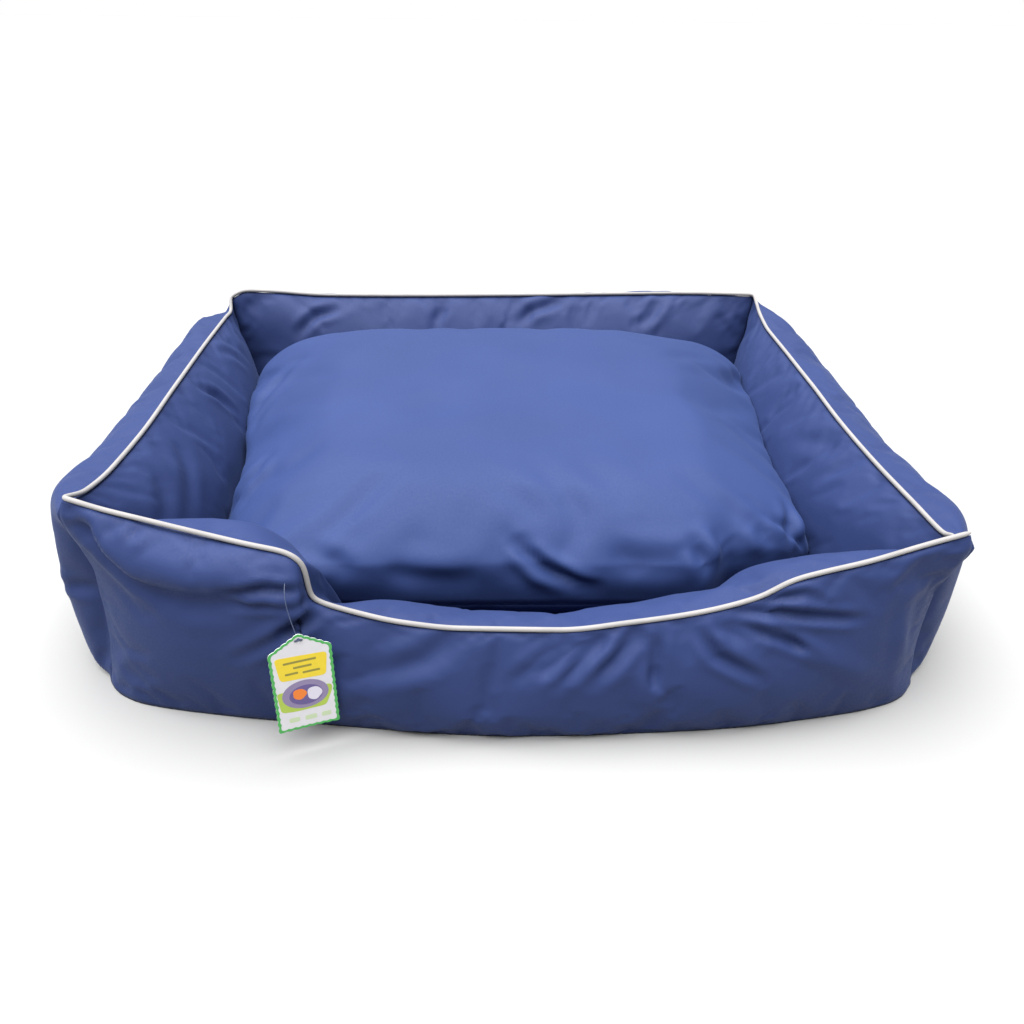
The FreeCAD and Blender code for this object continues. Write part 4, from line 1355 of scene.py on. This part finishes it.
def stitches(name, line, lifts, body, closed=False):
    """Row of thread stitches along a line of points, each bedded at its ends."""
    if closed:
        line, lifts = np.concatenate([line, line[:1]]), np.concatenate([lifts, lifts[:1]])
    run = run_along(line)
    count = int(run[-1] / (STITCH_LENGTH + STITCH_GAP))
    turn = np.arange(6) * math.pi / 3
    shares, sizes, rises = zip(*STITCH_SHAPE)
    points, faces = [], []
    for k in range(count):
        begin = k * (STITCH_LENGTH + STITCH_GAP)
        places = begin + STITCH_LENGTH * np.array(shares)
        middle = np.column_stack([np.interp(places, run, line[:, axis]) for axis in range(3)])
        lift = np.array([np.interp(begin, run, lifts[:, axis]) for axis in range(3)])
        lift /= np.linalg.norm(lift)
        along = middle[-1] - middle[0]
        along /= np.linalg.norm(along)
        side = np.cross(along, lift)
        start = len(points)
        for place, size, rise in zip(middle, sizes, rises):
            centre = place + lift * rise * THREAD_RADIUS
            for angle in turn:
                way = side * math.cos(angle) + lift * math.sin(angle)
                points.append(centre + way * THREAD_RADIUS * size)
        for i in range(4):
            for j in range(6):
                a, b = start + i * 6 + j, start + i * 6 + (j + 1) % 6
                faces.append((a, b, b + 6, a + 6))
        faces.append(tuple(start + j for j in range(5, -1, -1)))
        faces.append(tuple(start + 24 + j for j in range(6)))
    finish_piece(new_object(name, points, faces), body, thread)


thread = cloth_material("navy_thread", shade(WALL_BLUE, 1.5)[:3], pitch=0.4 * MM, use_map=False)
stitch_row = blend(ring[:, RIM_ROW], ring[:, RIM_ROW - 1], 0.75)
stitches("rim_stitching", stitch_row, ring_normals[:, RIM_ROW - 1], "bed", True)
for side, face in (("upper", cushion_top), ("lower", cushion_bottom)):
    beside_zip = np.abs(face[:, -1, 0]) < ZIP_HALF - 7 * MM
    row = blend(face[:, -1], face[:, -2], 0.2)[beside_zip]
    back_way = np.tile([0.0, 1.0, 0.0], (len(row), 1))
    stitches("zip_stitching_" + side, row, back_way, "cushion")

# --- Hang tag --------------------------------------------------------------------------------
# The card's own frame, in mm: across from its middle, front (-) to back, up from its foot.

TAG_LOW, TAG_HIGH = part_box("tag_card")
# The printed card hangs a little to the right of the CAD's plain one, and higher.
TAG_SHIFT = Vector((5.0, 0.0, 2.9)) * MM
TAG_FOOT = Vector(((TAG_LOW.x + TAG_HIGH.x) / 2, (TAG_LOW.y + TAG_HIGH.y) / 2, TAG_LOW.z)) + TAG_SHIFT
TAG_TURN = math.radians(20)
CARD_CORNERS = ((-29, 0), (29, 0), (29, 93), (0, 111), (-29, 93))
CARD_HALF = 0.3
HOLE, HOLE_RADIUS = (0, 103.5), 2.2
BORDER = 2.6
# Thickness of each layer of ink, and its gap to the card.
INK, INK_GAP = 0.07, 0.01
# Scallops of the card's edge.
SCALLOP_LENGTH, SCALLOP_DEPTH = 7.5, 0.9
# How far the card's sides curl to the front.
CURL = 0.7


def tag_point(x, y, z):
    """Place in the bed's frame of a point of the card; its sides curl a little to the front."""
    y = y - CURL * (x / 31) ** 2 * (1 - 0.5 * z / 108)
    cosine, sine = math.cos(TAG_TURN), math.sin(TAG_TURN)
    return TAG_FOOT + Vector((x * cosine - y * sine, x * sine + y * cosine, z)) * MM


def card_edge(inset):
    """Scalloped edge of the card, anticlockwise from the front, at an inset from its true edge."""
    corners = np.array(CARD_CORNERS, float)
    ways = np.roll(corners, -1, axis=0) - corners
    lengths = np.linalg.norm(ways, axis=1)
    ways /= lengths[:, None]
    inward = np.column_stack([-ways[:, 1], ways[:, 0]])
    inner = []
    for k, corner in enumerate(corners):
        both = inward[k - 1] + inward[k]
        inner.append(corner + both * inset / (1 + inward[k - 1] @ inward[k]))
    points = []
    for k, length in enumerate(lengths):
        scallops = int(round(length / SCALLOP_LENGTH))
        for i in range(8 * scallops):
            share = i / (8 * scallops)
            dip = SCALLOP_DEPTH * (1 - abs(math.sin(math.pi * scallops * share)))
            points.append(blend(inner[k], inner[(k + 1) % len(corners)], share) + inward[k] * dip)
    return np.array(points)


def oval(centre, across, up, count, uneven):
    """Soft oval in the card's frame, with a more or less uneven edge."""
    out = []
    for k in range(count):
        turn = 2 * math.pi * k / count
        wave = 1 + uneven * (math.sin(3 * turn + 1) + 0.6 * math.sin(5 * turn + 2))
        out.append((centre[0] + across * wave * math.cos(turn), centre[1] + up * wave * math.sin(turn)))
    return np.array(out)


def rounded(corners, radius):
    """Corners of a shape joined by straight edges, each corner cut by a small round."""
    out = []
    corners = np.array(corners, float)
    for before, corner, after in zip(np.roll(corners, 1, axis=0), corners, np.roll(corners, -1, axis=0)):
        start = corner + (before - corner) / np.linalg.norm(before - corner) * radius
        end = corner + (after - corner) / np.linalg.norm(after - corner) * radius
        for t in np.linspace(0, 1, 6):
            out.append((1 - t) ** 2 * start + 2 * t * (1 - t) * corner + t**2 * end)
        for t in (0.25, 0.5, 0.75):
            out.append(blend(end, after + (corner - after) / np.linalg.norm(corner - after) * radius, t))
    return np.array(out)


def bar(x, z, width, height):
    low, high = z - height / 2, z + height / 2
    left, right = x - width / 2, x + width / 2
    return rounded(((left, low), (right, low), (right, high), (left, high)), min(height, width) * 0.35)


def hoop(outer, inner, steps, front, back):
    """Closed flat hoop between two outlines of the card: its points and faces."""
    shares = np.linspace(0, 1, steps + 1)
    loops = [(blend(outer, inner, share), front) for share in shares]
    loops += [(blend(outer, inner, share), back) for share in shares[::-1]]
    points = [tag_point(x, y, z) for loop, y in loops for x, z in loop]
    size, faces = len(outer), []
    for k in range(len(loops)):
        m = (k + 1) % len(loops)
        for j in range(size):
            n = (j + 1) % size
            faces.append((k * size + j, k * size + n, m * size + n, m * size + j))
    return points, faces


def patch(outline, front, back):
    """Closed flat patch inside an outline that bulges round its middle: its points and faces."""
    centre = outline.mean(axis=0)
    loops = [(blend(centre, outline, s), back) for s in (0.3, 0.65, 1.0)]
    loops += [(blend(centre, outline, s), front) for s in (1.0, 0.8, 0.6, 0.4, 0.2)]
    points = [tag_point(x, y, z) for loop, y in loops for x, z in loop]
    size, faces = len(outline), []
    for k in range(len(loops) - 1):
        for j in range(size):
            n = (j + 1) % size
            faces.append((k * size + j, k * size + n, (k + 1) * size + n, (k + 1) * size + j))
    points += [tag_point(centre[0], back, centre[1]), tag_point(centre[0], front, centre[1])]
    last = (len(loops) - 1) * size
    for j in range(size):
        n = (j + 1) % size
        faces.append((n, j, len(points) - 2))
        faces.append((last + j, last + n, len(points) - 1))
    return points, faces


def printed(name, shapes, colour):
    """Piece of one ink, from the points and faces of its shapes."""
    points, faces = [], []
    for shape_points, shape_faces in shapes:
        start = len(points)
        points.extend(shape_points)
        faces.extend(tuple(start + k for k in face) for face in shape_faces)
    obj = new_object(name, points, faces)
    obj.data.polygons.foreach_set("use_smooth", [False] * len(obj.data.polygons))
    return finish_piece(obj, "hang_tag", card_material(name + "_ink", colour))


def add_tag():
    edge = card_edge(0.0)
    ways = edge - np.array(HOLE)
    hole = np.array(HOLE) + ways / np.linalg.norm(ways, axis=1)[:, None] * HOLE_RADIUS
    points, faces = hoop(edge, hole, 10, -CARD_HALF, CARD_HALF)
    card = new_object("tag_board", points, faces)
    card.data.polygons.foreach_set("use_smooth", [False] * len(faces))
    paper = card_material("tag_board_card", (0.56, 0.55, 0.575))
    finish_piece(card, "hang_tag", paper, ["tag_card"])
    face, back = -CARD_HALF - INK_GAP, CARD_HALF + INK_GAP
    level = [face - INK, face - 2 * INK, face - 3 * INK, face - 4 * INK]
    border = hoop(edge, card_edge(BORDER), 2, level[0], face)
    back_border = hoop(edge, card_edge(BORDER), 2, back, back + INK)
    printed("tag_border", [border, back_border], (0.055, 0.32, 0.07))
    band = rounded(((-21, 60.5), (21, 58.5), (24, 85), (-24, 87.5)), 4.5)
    printed("tag_band", [patch(band, level[0], face)], (0.66, 0.5, 0.022))
    rows = ((-1.5, 80, 30, 2.4), (0.5, 73.5, 17, 2.4), (-10, 67.5, 12, 2.4), (8, 66.5, 16, 2.4))
    printed("tag_band_bars", [patch(bar(*row), level[1], level[0]) for row in rows], (0.22, 0.2, 0.03))
    ground = rounded(((-24, 24), (-10, 22), (18, 22.5), (25, 40), (25, 47), (-26, 48)), 4)
    printed("tag_ground", [patch(ground, level[0], face)], (0.33, 0.44, 0.06))
    # Each oval: name, layer of ink, middle, half width, half height, points, unevenness, colour.
    ovals = (
        ("tag_oval", 1, (0, 41), 21.5, 16.5, 64, 0.0, (0.21, 0.17, 0.29)),
        ("tag_oval_inside", 2, (0.5, 40), 15.5, 11.5, 56, 0.0, (0.10, 0.075, 0.21)),
        ("tag_spot_orange", 3, (-5.3, 42), 6.3, 6.2, 48, 0.05, (0.66, 0.17, 0.02)),
        ("tag_spot_white", 3, (8.4, 40), 6.8, 7.6, 48, 0.05, (0.56, 0.53, 0.61)),
    )
    for name, layer, centre, across, up, count, uneven, colour in ovals:
        outline = oval(centre, across, up, count, uneven)
        printed(name, [patch(outline, level[layer], level[layer - 1])], colour)
    bars = ((-13, 12.5, 10, 5.5), (2.5, 12, 11, 5.5), (17, 12, 9, 5.5))
    printed("tag_foot_bars", [patch(bar(*row), level[0], face) for row in bars], (0.44, 0.53, 0.34))
    back_bars = [patch(bar(0, 70 - 9 * k, 40, 2.2), back, back + INK) for k in range(5)]
    printed("tag_back_bars", back_bars, (0.05, 0.05, 0.06))


# The toggle in mm: most half length, place before the card, half thickness, half height.
TOGGLE_MOST_HALF, TOGGLE_PLACE, TOGGLE_THICK, TOGGLE_HIGH = 4, -0.85, 0.42, 1.35


def add_toggle():
    """Moulded toggle at the end of the filament, flat with round ends."""
    low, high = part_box("tag_paddle")
    half = min(math.hypot(high.x - low.x, high.y - low.y) / 2 / MM, TOGGLE_MOST_HALF)
    shares = (-1, -0.97, -0.88, -0.7, -0.35, 0, 0.35, 0.7, 0.88, 0.97, 1)
    points, faces = [], []
    for share in shares:
        size = max(0.25, (1 - abs(share) ** 6) ** 0.5) * (1 - 0.22 * math.exp(-((share / 0.3) ** 2)))
        for k in range(12):
            turn = k * math.pi / 6
            y = TOGGLE_PLACE + TOGGLE_THICK * size * math.cos(turn)
            points.append(tag_point(half * share, y, HOLE[1] + TOGGLE_HIGH * size * math.sin(turn)))
    for i in range(len(shares) - 1):
        for k in range(12):
            a, b = i * 12 + k, i * 12 + (k + 1) % 12
            faces.append((a, a + 12, b + 12, b))
    faces.append(tuple(range(12)))
    faces.append(tuple(len(points) - 1 - k for k in range(12)))
    obj = new_object("tag_toggle", points, faces)
    return finish_piece(obj, "hang_tag", clear_nylon, ["tag_paddle"])


clear_nylon = nylon_material("tag_nylon_clear", (0.045, 0.06, 0.11))
filament.data.materials.append(clear_nylon)
add_tag()
toggle = add_toggle()

# --- Zip metal: the CAD shapes stay ----------------------------------------------------------

zip_metal = metal_material("zip_nickel", (0.42, 0.42, 0.44))
for node in ("zip_stop_left", "zip_stop_right", "zip_slider", "zip_pull"):
    for material_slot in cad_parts[node].material_slots:
        material_slot.material = zip_metal

# --- Studio ----------------------------------------------------------------------------------


def add_sun(name, way, strength, angle):
    light = bpy.data.lights.new(name, "SUN")
    light.energy = strength
    light.angle = math.radians(angle)
    obj = bpy.data.objects.new(name, light)
    obj.rotation_euler = Vector(way).to_track_quat("-Z", "Y").to_euler()
    bpy.context.scene.collection.objects.link(obj)


def add_world(shown, lighting):
    """Soft sky: white where it is seen, dimmer where it lights the object."""
    world = bpy.data.worlds.new("world")
    bpy.context.scene.world = world
    world.use_nodes = True
    tree = world.node_tree
    background = tree.nodes["Background"]
    background.inputs["Color"].default_value = (1.0, 1.0, 1.0, 1)
    seen = tree.nodes.new("ShaderNodeLightPath").outputs["Is Camera Ray"]
    strength = tree.nodes.new("ShaderNodeMapRange")
    strength.inputs["To Min"].default_value = lighting
    strength.inputs["To Max"].default_value = shown
    tree.links.new(seen, strength.inputs["Value"])
    tree.links.new(strength.outputs["Result"], background.inputs["Strength"])


FLOOR_HALF = 400


def add_floor():
    corners = [(x * FLOOR_HALF, y * FLOOR_HALF, 0) for x, y in ((-1, -1), (1, -1), (1, 1), (-1, 1))]
    floor = new_object("floor", corners, [(0, 1, 2, 3)])
    n = Nodes("floor_paint", 0.9, 0.1)
    n.set("Base Color", (0.27, 0.27, 0.27, 1))
    floor.data.materials.append(n.material)


add_sun("overhead", (0.14, 0.04, -1.0), 11.8, 80)
add_world(1.0, 0.45)
add_floor()
bpy.context.scene.view_settings.view_transform = "Standard"
